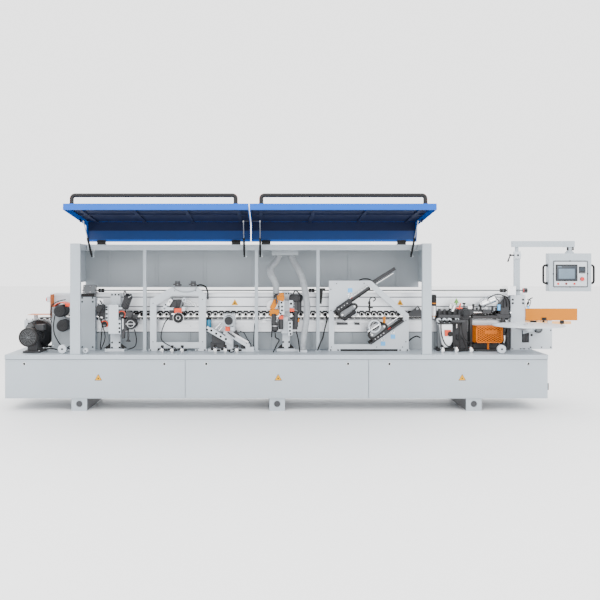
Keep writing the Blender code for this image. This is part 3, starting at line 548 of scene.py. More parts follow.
def handle(name, body, closed):
    first, last = HANDLE_SPANS[name]
    reach = -LID_REACH - 0.085
    outer = -LID_REACH - 0.0005
    drop = 0.05 - LID_DROP
    bend = 0.03
    corners = []
    for step in range(7):
        angle = math.pi / 2 * step / 6
        corners.append((bend * (1 - math.cos(angle)), reach + bend * (1 - math.sin(angle))))
    route = [(first, outer, drop)] + [(first + across, away, drop) for across, away in corners]
    route += [(last - across, away, drop) for across, away in reversed(corners)] + [(last, outer, drop)]
    grip = Kit(f"lid_handle_bar_{name}", body, BLACK, closed, bevel=0)
    grip.pipe(route, 0.0185, 24)
    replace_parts(grip.done(), f"lid_handle_{name}")
    strips = Kit(f"lid_handle_strips_{name}", body, RED_ORANGE, closed, bevel=0)
    shoes = Kit(f"lid_handle_shoes_{name}", body, BLACK, closed)
    wide = bend + 0.017
    for across in (first, last):
        inward = 1 if across == first else -1
        strip = [(across - inward * 0.017, outer - 0.004, drop)]
        for step in range(7):
            angle = math.radians(66 * step / 6)
            bent = (bend - wide * math.cos(angle), reach + bend - wide * math.sin(angle))
            strip.append((across + inward * bent[0], bent[1], drop))
        strips.pipe(strip, 0.003, 8)
        shoes.bar((across, outer - 0.012, drop), (across, outer, drop), 0.021, 24, 0.028)
    strips.done()
    shoes.done()


def struts():
    reach, drop = STRUT_EYE
    cosine, sine = math.cos(LID_OPEN), math.sin(LID_OPEN)
    eye = Vector((HINGE[0] + reach * cosine + drop * sine, HINGE[1] - reach * sine + drop * cosine))
    line = eye - Vector(STRUT_FOOT)
    tilt = math.atan2(-line.x, line.y)
    length = line.length
    for number, place in enumerate(STRUT_PLACES, start=1):
        along = Matrix.Translation((place, *STRUT_FOOT)) @ Matrix.Rotation(tilt, 4, "X")
        shell = Kit(f"strut_tube_{number}", f"strut_cylinder_{number}", BLACK, along, bevel=0.0006)
        shell.bar((0, 0, 0.024), (0, 0, 0.2825), 0.0108).bar((0, 0, 0.012), (0, 0, 0.03), 0.007)
        shell.ball((0, 0, 0), 0.0098)
        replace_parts(shell.done(), f"strut_cylinder_{number}")
        rod = Kit(f"strut_piston_{number}", f"strut_rod_{number}", STEEL, along, bevel=0.0004)
        rod.bar((0, 0, length - 0.268), (0, 0, length - 0.01), 0.0048)
        rod.bar((0, 0, length - 0.024), (0, 0, length - 0.008), 0.0068).ball((0, 0, length), 0.009)
        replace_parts(rod.done(), f"strut_rod_{number}")


def on_loop(distance, radius):
    """A point of the chain's loop, with the angle that it has turned through."""
    straight = IDLER_X - DRIVE_X
    arc = math.pi * radius
    if distance < straight:
        return DRIVE_X + distance, SHAFT_HEIGHT + radius, 0.0
    distance -= straight
    if distance < arc:
        angle = distance / radius
        return IDLER_X + radius * math.sin(angle), SHAFT_HEIGHT + radius * math.cos(angle), angle
    distance -= arc
    if distance < straight:
        return IDLER_X - distance, SHAFT_HEIGHT - radius, math.pi
    angle = math.pi + (distance - straight) / radius
    return DRIVE_X + radius * math.sin(angle), SHAFT_HEIGHT + radius * math.cos(angle), angle


def conveyor():
    finish_node("conveyor_stand", GREY, 0.002)
    finish_node("conveyor_beam", ALLOY, 0.002)
    finish_node("drive_sprocket", STEEL, 0.0015)
    finish_node("idler_sprocket", STEEL, 0.0015)
    radius = SPROCKET_RADIUS + CHAIN_THICK / 2
    length = 2 * (IDLER_X - DRIVE_X) + 2 * math.pi * radius
    count = round(length / 0.0635)
    pads = Kit("chain_pads", "machine", RUBBER, bevel=0.0015)
    links = Kit("chain_links", "machine", STEEL, bevel=0)
    for index in range(count):
        across, up, angle = on_loop(length * index / count, radius)
        turn = (angle, "Y")
        pads.box((across - 0.0295, 0.561, up - 0.004), (across + 0.0295, 0.639, up + 0.0108), turn)
        links.box((across - 0.022, 0.575, up - 0.0105), (across + 0.022, 0.625, up - 0.003), turn)
    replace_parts(pads.done(), "conveyor_chain")
    links.done()
    bands = Kit("conveyor_beam_bands", "machine", ALLOY, bevel=0.001)
    for low, high in ((0.751, 0.783), (0.79, 0.832), (0.839, 0.87)):
        bands.box((-2.558, 0.4965, low), (2.983, 0.5005, high))
    bands.done()
    strip = Kit("conveyor_beam_shadow_strip", "machine", BLACK, bevel=0)
    strip.box((-2.178, 0.4985, 0.7435), (2.698, 0.5003, 0.75)).done()
    holes = Kit("conveyor_beam_screws", "machine", STEEL, bevel=0.0005)
    for step in range(20):
        holes.screw((-2.48 + step * 0.28, 0.4965, 0.811), FRONT, 0.007, 0.004)
    holes.done()
    ribs = Kit("conveyor_stand_ribs", "machine", GREY)
    for step in range(12):
        across = -2.1 + step * 0.43
        ribs.box((across - 0.006, 0.484, DECK + GAP), (across + 0.006, 0.501, 0.745))
    ribs.done()
    small = Kit("outfeed_rollers", "machine", BRIGHT)
    cores = Kit("outfeed_roller_cores", "machine", BLACK)
    for step in range(5):
        across = -2.53 + step * 0.062
        small.bar((across, 0.4755, 0.8845), (across, 0.494, 0.8845), 0.0125)
        cores.bar((across, 0.473, 0.8845), (across, 0.4755, 0.8845), 0.006)
    small.done()
    cores.done()
    drive_motor()


def drive_motor():
    centre = 0.733
    body = Kit("gearmotor_body", "machine", DARK)
    body.bar((DRIVE_X, 0.075, centre), (DRIVE_X, 0.4, centre), 0.076, 40)
    body.bar((DRIVE_X, 0.395, centre), (DRIVE_X, 0.47, centre), 0.149, 56)
    body.bar((DRIVE_X, 0.3, centre), (DRIVE_X, 0.396, centre), 0.092, 48, 0.145)
    for step in range(30):
        angle = 2 * math.pi * step / 30
        out = Vector((math.cos(angle), 0.0, math.sin(angle)))
        if out.z < -0.72:
            continue
        spot = Vector((DRIVE_X, 0.235, centre)) + out * 0.081
        low = spot - Vector((0.006, 0.135, 0.0015))
        body.box(low, spot + Vector((0.006, 0.135, 0.0015)), (-angle, "Y"))
    body.box((DRIVE_X - 0.088, 0.14, DECK + GAP), (DRIVE_X + 0.088, 0.42, DECK + 0.02))
    body.box((DRIVE_X - 0.05, 0.18, DECK + 0.01), (DRIVE_X + 0.05, 0.4, 0.68))
    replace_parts(body.done(), "drive_gearmotor")
    cowl = Kit("gearmotor_fan_cowl", "machine", BLACK)
    cowl.bar((DRIVE_X, 0.028, centre), (DRIVE_X, 0.082, centre), 0.096, 48).bar(
        (DRIVE_X, 0.0205, centre), (DRIVE_X, 0.028, centre), 0.082, 48, 0.096
    )
    cowl.done()
    grille = Kit("gearmotor_grille", "machine", MID_GREY, bevel=0)
    for radius in (0.018, 0.032, 0.046, 0.06, 0.074):
        grille.ring((DRIVE_X, 0.0215, centre), FRONT, radius, 0.0014, 36, 6)
    for step in range(6):
        angle = math.pi * step / 6
        reach = Vector((math.cos(angle), 0.0, math.sin(angle))) * 0.078
        middle = Vector((DRIVE_X, 0.0216, centre))
        grille.bar(middle - reach, middle + reach, 0.0013, 6)
    grille.done()
    extras = Kit("gearmotor_box_and_eye", "machine", DARK)
    extras.box((DRIVE_X + 0.035, 0.17, 0.79), (DRIVE_X + 0.115, 0.29, 0.85))
    extras.ring((DRIVE_X - 0.03, 0.345, 0.855), (0, 1, 0), 0.014, 0.005)
    extras.bar((DRIVE_X - 0.03, 0.345, 0.8), (DRIVE_X - 0.03, 0.345, 0.842), 0.008).done()
    bolts = Kit("gearmotor_bolts", "machine", STEEL, bevel=0.0005)
    for across, up in circle((DRIVE_X, centre), 0.134, 10, 0.2):
        bolts.screw((across, 0.3955, up), FRONT, 0.0075, 0.006)
    for across in (-0.075, 0.075):
        for deep in (0.16, 0.39):
            bolts.screw((DRIVE_X + across, deep, DECK + 0.02), UP, 0.008, 0.007)
    bolts.done()


def pressure_beam():
    body = "pressure_beam"
    finish_node("pressure_beam", ALLOY, 0.002)
    bands = Kit("pressure_beam_bands", body, ALLOY, bevel=0.0012)
    for low, high in ((0.976, 1.012), (1.022, 1.11), (1.122, 1.16)):
        bands.box((-2.288, 0.4984, low), (2.748, 0.5005, high))
    bands.done()
    # Painted shade: mid grey strips in the gaps between the beam's bands stand in for the shade in its
    # grooves.
    groove_shade = Kit("pressure_beam_groove_shade", body, MID_GREY, bevel=0)
    for height in (1.017, 1.116):
        groove_shade.box((-2.287, 0.499, height - 0.005), (2.747, 0.5001, height + 0.005))
    groove_shade.done()
    signs = Kit("pressure_beam_signs", body, YELLOW, bevel=0)
    marks = Kit("pressure_beam_sign_marks", body, BLACK, bevel=0)
    for across in (-0.33, 1.42):
        signs.plate(triangle(across, 0.036, 1.032, 1.095), 0.4972, 0.4983)
        marks.plate(circle((across, 1.052), 0.008, 20), 0.4966, 0.4973)
    signs.done()
    marks.done()
    bar = Kit("roller_carrier", body, DARK, bevel=0.001)
    bar.box((-2.27, 0.56, 0.9375), (2.73, 0.64, 0.9735))
    tyres = Kit("pressure_roller_tyres", body, RUBBER, bevel=0.0008)
    rings = Kit("pressure_roller_rings", body, BRIGHT, bevel=0)
    cores = Kit("pressure_roller_cores", body, RUBBER, bevel=0.0006)
    arms = Kit("pressure_roller_arms", body, ALLOY, bevel=0.001)
    for index in range(76):
        across = -2.23 + index * 0.065
        tyres.bar((across, 0.552, 0.932), (across, 0.64, 0.932), 0.0248, 20)
        rings.ring((across, 0.5515, 0.932), FRONT, 0.0185, 0.0036, 22, 6)
        cores.bar((across, 0.5495, 0.932), (across, 0.553, 0.932), 0.011, 14)
        left, right = across + 0.017, across + 0.048
        middle = across + 0.0325
        arms.plate([(left, 0.973), (right, 0.973), (middle, 0.955)], 0.548, 0.556)
    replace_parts(bar.done(), "pressure_rollers")
    tyres.done()
    rings.done()
    cores.done()
    arms.done()
    boxes = Kit("lift_gearboxes", body, MID_GREY)
    boxes.box((-1.914, 0.388, 1.1645), (-1.79, 0.495, 1.248)).box((-1.925, 0.4, 1.1635),
        (-1.78, 0.495, 1.172))
    boxes.done()
    motor = Kit("lift_motor", body, BRIGHT)
    motor.box((2.528, 0.388, 1.1645), (2.56, 0.49, 1.238))
    motor.bar((2.558, 0.43, 1.198), (2.6165, 0.43, 1.198), 0.04, 40)
    motor.box((2.528, 0.502, 1.165), (2.69, 0.59, 1.236)).done()
    bolts = Kit("lift_gearbox_bolts", body, STEEL, bevel=0.0005)
    for across in (-1.902, -1.838):
        for up in (1.176, 1.236):
            bolts.screw((across, 0.388, up), FRONT, 0.005, 0.004)
    bolts.done()
    finish_node("lift_shaft", MID_GREY)
    joints = Kit("shaft_couplings", "lift_shaft", BLACK)
    for across in (-1.73, 0.48, 2.49):
        for offset in (-0.017, 0.017):
            joints.bar(
                (across + offset - 0.014, 0.43, 1.19), (across + offset + 0.014, 0.43, 1.19), 0.0195, 24,
            )
    joints.done()
    knob = Kit("lift_hand_knob", "lift_shaft", BLACK)
    knob.bar((2.706, 0.43, 1.19), (2.7445, 0.43, 1.19), 0.0235, 28)
    for step in range(10):
        angle = 2 * math.pi * step / 10
        out = Vector((0.0, math.cos(angle), math.sin(angle))) * 0.0225
        knob.bar(Vector((2.709, 0.43, 1.19)) + out, Vector((2.742, 0.43, 1.19)) + out, 0.0035, 10)
    knob.done()
    disc = Kit("lift_knob_disc", "lift_shaft", RED)
    disc.bar((2.7, 0.43, 1.19), (2.7065, 0.43, 1.19), 0.0245, 28).done()
    finish_node("lift_column", WHITE, 0.002)
    cap = Kit("lift_column_cap", "machine", BLACK)
    cap.box((-1.937, 0.403, 1.1235), (-1.8, 0.487, 1.156)).done()
    bolts = Kit("lift_column_bolts", "machine", BLACK, bevel=0.0005)
    for across in (-1.925, -1.815):
        for up in (1.113, 1.072, 0.598):
            bolts.screw((across, 0.4, up), FRONT, 0.009, 0.005)
    bolts.done()


def slotted(kit, holes, low, high, dots, radius=0.011):
    """A white bracket with holes through its face; the black discs in the holes are painted shade."""
    kit.box(low, high)
    for across, up in dots:
        holes.bar((across, low[1] - 0.0012, up), (across, low[1] + 0.004, up), radius, 18)


def regulator(silver, black, across, deep, high=0.062):
    """A small air regulator standing on the deck, with push fittings."""
    foot = DECK + GAP
    silver.bar((across, deep, foot), (across, deep, foot + high * 0.55), 0.021, 22)
    silver.bar((across, deep, foot + high * 0.55), (across, deep, foot + high * 0.72), 0.025, 22, 0.016)
    silver.bar(
        (across, deep - 0.012, foot + high * 0.35), (across, deep - 0.04, foot + high * 0.35), 0.017, 22,
    )
    black.bar((across, deep, foot + high * 0.72), (across, deep, foot + high), 0.015, 18)
    black.bar((across + 0.016, deep, foot + 0.022), (across + 0.052, deep, foot + 0.022), 0.01, 14)
    black.bar((across - 0.016, deep, foot + 0.032), (across - 0.046, deep, foot + 0.032), 0.009, 14)
    silver.screw((across, deep - 0.04, foot + high * 0.35), FRONT, 0.007, 0.003)


def finned_motor(kit, start, end, radius, fins=18):
    """A round motor with cooling fins along its shell."""
    start = Vector(start)
    end = Vector(end)
    ahead = (end - start).normalized()
    side = ahead.orthogonal().normalized()
    across = ahead.cross(side)
    kit.bar(start, start + ahead * 0.012, radius * 0.86, 28, radius)
    kit.bar(start + ahead * 0.011, end, radius * 0.9, 28)
    for step in range(fins):
        angle = 2 * math.pi * step / fins
        out = (side * math.cos(angle) + across * math.sin(angle)) * radius * 0.93
        kit.bar(start + ahead * 0.014 + out, end - ahead * 0.01 + out, radius * 0.055, 6)
    for part in (0.12, 0.88):
        spot = start + (end - start) * part
        kit.bar(spot - ahead * 0.006, spot + ahead * 0.006, radius, 28)


def indicator(body, name, centre, front=0.29):
    """A round position indicator: black counter with an orange clamp ring."""
    across, up = centre
    cap = Kit(f"{name}_counter", body, BLACK, bevel=0.001)
    cap.bar((across, front - 0.022, up), (across, front + 0.045, up), 0.031, 30)
    cap.bar((across, front + 0.02, up), (across, front + 0.06, up), 0.012, 16)
    cap.box((across - 0.016, front - 0.0245, up - 0.004), (across + 0.016, front - 0.021, up + 0.014))
    cap.done()
    ring = Kit(f"{name}_ring", body, RED_ORANGE, bevel=0.001)
    for step in range(13):
        angle = math.radians(-50 + 15 * step)
        spot = Vector((across + 0.034 * math.sin(angle), front, up + 0.034 * math.cos(angle)))
        ring.box(spot - Vector((0.0055, 0.017, 0.006)), spot + Vector((0.0055, 0.017, 0.006)),
            (angle, "Y"))
    ring.done()
    face = Kit(f"{name}_face", body, MID_GREY, bevel=0)
    face.bar((across, front - 0.0245, up - 0.006), (across, front - 0.0215, up - 0.006), 0.016, 24)
    face.done()


def outfeed():
    guard = Kit("outfeed_guard_plates", "machine", ORANGE, bevel=0.0006)
    guard.box((-2.472, 0.3, 0.9402), (-2.2322, 0.496, 0.9428)).box((-2.235, 0.3, 0.9155),
        (-2.2322, 0.496, 1.1525))
    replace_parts(guard.done(), "outfeed_guard")
    leg = Kit("outfeed_guard_leg", "machine", PLATE)
    leg.box((-2.4515, 0.4745, 0.8585), (-2.4125, 0.4965, 0.94)).done()
    finish_node("outfeed_stop", RED, 0.002)
    screen = Kit("outfeed_screen", "machine", PLATE, bevel=0.001)
    screen.box((-2.231, 0.445, 0.958), (-1.985, 0.451, 1.15))
    screen.box((-2.231, 0.441, 1.128), (-1.985, 0.455, 1.15)).done()
    bracket = Kit("stop_switch_box", "machine", PLATE)
    bracket.box((-2.274, 0.322, 1.071), (-2.2352, 0.378, 1.129)).done()
    block = Kit("buffing_column", "machine", GREY)
    block.box((-2.23, 0.34, DECK + 0.02), (-2.12, 0.44, 1.02))
    block.box((-2.25, 0.25, DECK + GAP), (-2.02, 0.46, 0.583))
    block.box((-2.13, 0.3, 0.6), (-2.0, 0.43, 0.79))
    block.box((-2.15, 0.33, 0.77), (-2.03, 0.42, 0.905), (0.5, "Y"))
    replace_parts(block.done(), "buffing_unit")
    bolts = Kit("buffing_bolts", "machine", STEEL, bevel=0.0005)
    for across, deep in ((-2.238, 0.265), (-2.032, 0.265), (-2.238, 0.32)):
        bolts.screw((across, deep, 0.583), UP, 0.007, 0.006)
    for across, up in ((-2.215, 0.62), (-2.215, 0.95), (-2.135, 0.95), (-2.115, 0.615), (-2.015, 0.615)):
        bolts.screw((across, 0.3 if across > -2.12 else 0.34, up), FRONT, 0.006, 0.005)
    bolts.done()
    for index, (across, up) in enumerate(((-2.11, 0.987), (-2.08, 0.838))):
        motor = Kit(f"buffing_motor_{index}", "machine", DARK, bevel=0.001)
        finned_motor(motor, (across, 0.172, up), (across, 0.4, up), 0.062, 22)
        motor.bar((across, 0.4, up), (across, 0.425, up), 0.05, 28).done()
        face = Kit(f"buffing_motor_face_{index}", "machine", BLACK, bevel=0.0006)
        for radius in (0.02, 0.032, 0.044):
            face.ring((across, 0.1725, up), FRONT, radius, 0.003, 30, 8)
        face.bar((across, 0.17, up), (across, 0.176, up), 0.01, 20).done()
        wheel = Kit(f"buffing_wheel_{index}", "machine", FELT, bevel=0.002)
        for layer in range(6):
            near = 0.428 + layer * 0.0115
            wheel.bar((across, near, up), (across, near + 0.0085, up), 0.07 - 0.003 * (layer % 2), 36)
        wheel.done()
    hood = Kit("buffing_hood", "machine", RED_ORANGE, bevel=0.001)
    for step in range(11):
        angle = math.radians(-55 + step * 11)
        spot = Vector((-2.1 + 0.082 * math.sin(angle), 0.285, 0.992 + 0.082 * math.cos(angle)))
        hood.box(spot - Vector((0.0095, 0.085, 0.004)), spot + Vector((0.0095, 0.085, 0.004)),
            (angle, "Y"))
    hood.box((-2.055, 0.205, 1.035), (-2.0, 0.33, 1.065)).done()
    cables = Kit("buffing_cables", "machine", BLACK, bevel=0)
    arch = [
        (-2.205, 0.24, 0.86), (-2.212, 0.22, 0.95), (-2.195, 0.2, 1.04), (-2.13, 0.19, 1.085),
        (-2.05, 0.2, 1.105),
    ]
    cables.cables(0.0048, arch)
    down = [
        (-2.16, 0.2, 0.945), (-2.172, 0.19, 0.85), (-2.165, 0.19, 0.76), (-2.13, 0.2, 0.68),
        (-2.09, 0.22, 0.615),
    ]
    cables.cables(0.006, down)
    low = [
        (-2.26, 0.2, 0.6), (-2.18, 0.18, 0.606), (-2.1, 0.17, 0.59), (-2.02, 0.19, 0.62),
        (-1.97, 0.22, 0.66),
    ]
    cables.cables(0.0065, low).done()
    bearing = Kit("outfeed_end_bearing", "machine", PLATE)
    bearing.box((-2.558, 0.49, 0.795), (-2.46, 0.4965, 0.872)).done()
    stud = Kit("outfeed_end_stud", "machine", BLACK, bevel=0.001)
    stud.bar((-2.51, 0.482, 0.838), (-2.51, 0.4905, 0.838), 0.011, 20).done()
    disc = Kit("deck_rollers", "machine", PLATE, bevel=0.003)
    hub = Kit("deck_roller_hubs", "machine", BLACK, bevel=0.001)
    for across, up, radius in ((-2.06, 0.6095, 0.044), (2.384, 0.6085, 0.043), (-1.826, 0.5925, 0.027)):
        disc.bar((across, 0.085, up), (across, 0.125, up), radius, 40)
        hub.bar((across, 0.0835, up), (across, 0.0865, up), radius * 0.24, 20)
        hub.bar((across, 0.125, up), (across, 0.138, up), radius * 0.3, 20)
    disc.done()
    hub.done()
    bracket = Kit("deck_roller_brackets", "machine", STEEL)
    for across, up in ((-2.06, 0.6095), (2.384, 0.6085), (-1.826, 0.5925)):
        bracket.box((across - 0.012, 0.137, DECK + GAP), (across + 0.012, 0.145, up + 0.012))
        bracket.box((across - 0.018, 0.11, DECK + GAP), (across + 0.018, 0.165, DECK + 0.006))
    bracket.done()


def scraper():
    finish_node("scraper_post", PLATE, 0.002)
    bolts = Kit("scraper_bolts", "machine", BLACK, bevel=0.0005)
    for across in (-1.605, -1.57, -1.535):
        bolts.screw((across, 0.36, 1.148), FRONT, 0.009, 0.005)
    for across in (-1.605, -1.527):
        for up in (0.65, 0.5975):
            bolts.screw((across, 0.36, up), FRONT, 0.01, 0.005)
    for across, up in ((-1.555, 0.925), (-1.53, 0.925), (-1.612, 0.863), (-1.585, 0.863)):
        bolts.screw((across, 0.36, up), FRONT, 0.0075, 0.004)
    for across in (-1.655, -1.485):
        bolts.screw((across, 0.325, 0.588), UP, 0.009, 0.006)
    bolts.done()
    wings = Kit("scraper_gussets", "machine", BLACK)
    wings.plate([(-1.695, 0.5886), (-1.625, 0.5886), (-1.625, 0.64)], 0.378, 0.386)
    wings.plate([(-1.515, 0.5886), (-1.45, 0.5886), (-1.515, 0.64)], 0.378, 0.386).done()
    at = Matrix.Translation((-1.57, 0.3, 0.9))
    body = "scraper_head"
    block = Kit("scraper_block", body, PLATE, at)
    block.box((-0.05, -0.06, -0.15), (0.05, 0.058, 0.15))
    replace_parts(block.done(), "scraper_head")
    # Painted shade: black discs in the bracket holes stand in for the shade inside them.
    dots = Kit("scraper_bracket_hole_shade", body, BLACK, at, bevel=0)
    white = Kit("scraper_brackets", body, PLATE, at)
    slotted(
        white, dots, (-0.078, -0.066, -0.005), (-0.052, -0.03, 0.142),
        [(-0.066, up) for up in (0.015, 0.055, 0.1, 0.125)],
    )
    slotted(
        white, dots, (0.048, -0.066, -0.148), (0.078, -0.03, -0.01),
        [(0.064, up) for up in (-0.13, -0.09, -0.045)],
    )
    white.box((0.05, -0.064, 0.105), (0.092, -0.02, 0.122)).done()
    dots.done()
    dark = Kit("scraper_machinery", body, DARK, at, bevel=0.002)
    finned_motor(dark, (0.168, -0.095, 0.245), (0.11, -0.02, 0.12), 0.042, 16)
    dark.box((0.125, -0.05, 0.02), (0.19, 0.02, 0.075), (0.35, "Y"))
    dark.box((0.14, -0.02, 0.0), (0.24, 0.025, 0.045))
    finned_motor(dark, (0.185, -0.105, -0.045), (0.185, 0.02, -0.045), 0.057, 20)
    dark.box((0.11, -0.07, -0.12), (0.14, 0.03, -0.005))
    dark.box((0.085, -0.05, -0.2), (0.11, 0.02, -0.11))
    dark.bar((0.15, -0.04, -0.1), (0.15, -0.04, -0.215), 0.009, 14)
    dark.bar((0.15, -0.04, -0.21), (0.15, -0.04, -0.232), 0.012, 18, 0.028)
    dark.box((-0.128, -0.05, 0.0), (-0.08, 0.04, 0.1))
    dark.box((-0.165, -0.02, 0.025), (-0.12, 0.06, 0.15), (0.25, "Y"))
    finned_motor(dark, (-0.13, -0.12, 0.11), (-0.13, 0.05, 0.11), 0.043, 16)
    dark.done()
    silver = Kit("scraper_fittings", body, STEEL, at, bevel=0.001)
    silver.box((-0.16, -0.075, 0.16), (-0.1, -0.04, 0.215), (0.2, "Y"))
    silver.bar((-0.145, -0.08, 0.02), (-0.105, -0.08, 0.02), 0.012, 20)
    silver.bar((-0.09, -0.085, 0.185), (-0.15, -0.085, 0.12), 0.009, 18)
    silver.bar((0.135, -0.11, -0.045), (0.235, -0.11, -0.045), 0.004, 12)
    silver.ring((0.185, -0.1045, -0.045), FRONT, 0.036, 0.004)
    silver.ring((0.168, -0.0965, 0.245), (0.058, 0.075, -0.125), 0.03, 0.004)
    silver.box((0.094, -0.075, -0.1), (0.106, -0.068, 0.0)).done()
    indicator(body, "scraper_indicator_right", (-1.49, 0.946))
    indicator(body, "scraper_indicator_left", (-1.67, 0.845))
    cables = Kit("scraper_cables", "machine", BLACK, bevel=0)
    cables.cables(
        0.0055,
        [(-1.665, 0.17, 1.02), (-1.705, 0.19, 0.94), (-1.67, 0.24, 0.8), (-1.66, 0.26, 0.7),
            (-1.7, 0.24, 0.585)],
        [(-1.68, 0.2, 1.06), (-1.72, 0.25, 1.1), (-1.74, 0.33, 1.0), (-1.71, 0.36, 0.85),
            (-1.73, 0.37, 0.585)],
        [(-1.43, 0.2, 1.16), (-1.445, 0.22, 1.19), (-1.47, 0.3, 1.175), (-1.48, 0.38, 1.1),
            (-1.47, 0.43, 0.9)],
        [(-1.35, 0.21, 0.8), (-1.33, 0.22, 0.7), (-1.35, 0.25, 0.62), (-1.42, 0.27, 0.59)],
    )
    cables.done()


def valve(metal, dark, across, front):
    dark.box((across - 0.027, front, 1.236), (across + 0.027, front + 0.03, 1.276))
    metal.box((across - 0.032, front - 0.004, 1.2275), (across + 0.032, front + 0.026, 1.237))
    for offset in (-0.02, -0.007, 0.007, 0.02):
        dark.bar((across + offset, front + 0.013, 1.272), (across + offset, front + 0.013, 1.29),
            0.0048, 12)
        metal.bar(
            (across + offset, front + 0.013, 1.286), (across + offset, front + 0.013, 1.2945), 0.0034, 12,
        )
    dark.bar((across - 0.027, front + 0.014, 1.256), (across - 0.046, front + 0.014, 1.256), 0.007, 14)
    dark.bar((across + 0.027, front + 0.014, 1.25), (across + 0.042, front + 0.014, 1.25), 0.006, 14)
    metal.screw((across, front, 1.255), FRONT, 0.008, 0.003)


def rounding():
    finish_node("rounding_frame", PLATE, 0.003)
    crossbar = Kit("rounding_crossbar", "machine", PLATE)
    crossbar.box((-1.1395, 0.337, 0.592), (-0.695, 0.36, 0.654))
    crossbar.box((-1.218, 0.322, DECK + GAP), (-1.098, 0.3345, 0.5845))
    crossbar.box((-0.735, 0.322, DECK + GAP), (-0.612, 0.3345, 0.5845)).done()
    bolts = Kit("rounding_bolts", "machine", BLACK, bevel=0.0005)
    for across in (-1.2, -1.12, -0.715, -0.635):
        bolts.screw((across, 0.322, 0.5755), FRONT, 0.008, 0.007)
    for across, up in ((-1.175, 1.06), (-1.175, 0.66), (-0.66, 0.66), (-0.66, 1.1), (-0.95, 1.19),
        (-0.73, 1.19)):
        bolts.screw((across, 0.335, up), FRONT, 0.005, 0.003)
    bolts.done()
    metal = Kit("rounding_valve_metal", "machine", MID_GREY, bevel=0.0008)
    dark = Kit("rounding_valves", "machine", DARK, bevel=0.0008)
    for across in (-0.92, -0.757):
        valve(metal, dark, across, 0.332)
    metal.done()
    dark.done()
    lines = Kit("rounding_air_lines", "machine", GREY, bevel=0)
    sag = [
        (-0.966, 0.33, 1.252), (-0.94, 0.326, 1.205), (-0.85, 0.322, 1.178), (-0.75, 0.326, 1.19),
        (-0.715, 0.33, 1.232),
    ]
    lines.cables(0.0035, sag).done()
    cables = Kit("rounding_cables", "machine", BLACK, bevel=0)
    over = [
        (-0.715, 0.342, 1.24), (-0.68, 0.33, 1.252), (-0.63, 0.33, 1.232), (-0.607, 0.34, 1.18),
        (-0.606, 0.37, 1.1),
    ]
    cables.pipe(smooth_route(over, 8), 0.0085, 12)
    loop = [
        (-1.008, 0.25, 0.905), (-1.042, 0.24, 0.86), (-1.075, 0.24, 0.76), (-1.07, 0.25, 0.68),
        (-0.99, 0.26, 0.625), (-0.93, 0.27, 0.6),
    ]
    cables.pipe(smooth_route(loop, 8), 0.0055, 12).done()
    air = Kit("rounding_air_cylinder", "machine", TEAL)
    air.bar((-0.6, 0.4, 0.79), (-0.6, 0.4, 0.885), 0.026, 28).done()
    ends = Kit("rounding_air_cylinder_ends", "machine", BLACK)
    ends.bar((-0.6, 0.4, 0.885), (-0.6, 0.4, 0.902), 0.027, 28)
    ends.bar((-0.6, 0.4, 0.773), (-0.6, 0.4, 0.79), 0.027, 28)
    ends.bar((-0.6, 0.4, 0.902), (-0.6, 0.4, 0.925), 0.01, 16)
    ends.box((-0.665, 0.39, 0.79), (-0.626, 0.42, 0.87)).done()
    at = Matrix.Translation((-0.85, 0.3, 1.098))
    body = "rounding_head"
    motor = Kit("rounding_motor", body, DARK, at, bevel=0.001)
    finned_motor(motor, (-0.048, -0.108, -0.18), (-0.048, 0.024, -0.18), 0.052, 20)
    motor.box((-0.15, -0.014, -0.215), (-0.082, 0.014, -0.02))
    motor.plate([(-0.155, -0.045), (-0.11, 0.0), (0.0, 0.004), (-0.01, -0.1), (-0.1, -0.11)], 0.006,
        0.014)
    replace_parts(motor.done(), "rounding_head")
    ring = Kit("rounding_motor_ring", body, BRIGHT, at, bevel=0.001)
    ring.ring((-0.048, -0.094, -0.182), FRONT, 0.0535, 0.004, 40, 10)
    ring.ring((-0.048, -0.108, -0.18), FRONT, 0.02, 0.003)
    ring.bar((0.016, -0.03, 0.004), (0.135, -0.01, -0.052), 0.0048, 14)
    ring.bar((0.01, -0.03, -0.016), (0.135, -0.01, -0.074), 0.0048, 14)
    ring.bar((-0.12, -0.05, -0.145), (-0.092, -0.05, -0.145), 0.013, 20)
    ring.box((-0.16, -0.05, -0.06), (-0.125, -0.03, 0.012), (0.55, "Y")).done()
    red = Kit("rounding_red_block", body, RED_ORANGE, at)
    red.box((-0.093, -0.062, -0.138), (-0.018, -0.002, -0.086)).done()
    white = Kit("rounding_links", body, PLATE, at)
    white.box((-0.205, -0.046, -0.105), (-0.098, -0.03, -0.078))
    white.box((-0.2, -0.046, -0.1), (-0.17, -0.03, -0.02), (0.62, "Y"))
    white.ball((0.006, -0.02, 0.0), 0.027).bar((0.006, -0.046, 0), (0.006, 0.004, 0), 0.018, 24)
    white.box((-0.018, -0.052, -0.115), (0.016, -0.03, -0.07)).done()
    studs = Kit("rounding_studs", body, BLACK, at, bevel=0.0006)
    for across, up in ((-0.185, -0.05), (-0.1, -0.093), (-0.14, -0.02), (0.006, 0.0)):
        studs.screw((across, -0.047, up), FRONT, 0.008, 0.003)
    studs.ring((-0.048, -0.108, -0.18), FRONT, 0.036, 0.005, 30, 8).done()
    arm = Kit("rounding_swing_arm", body, MID_GREY, at)
    arm.bar((-0.15, 0.012, 0.0), (-0.115, 0.012, 0.0), 0.015, 20)
    arm.bar((-0.012, -0.01, -0.01), (-0.045, -0.01, -0.12), 0.011, 16).done()


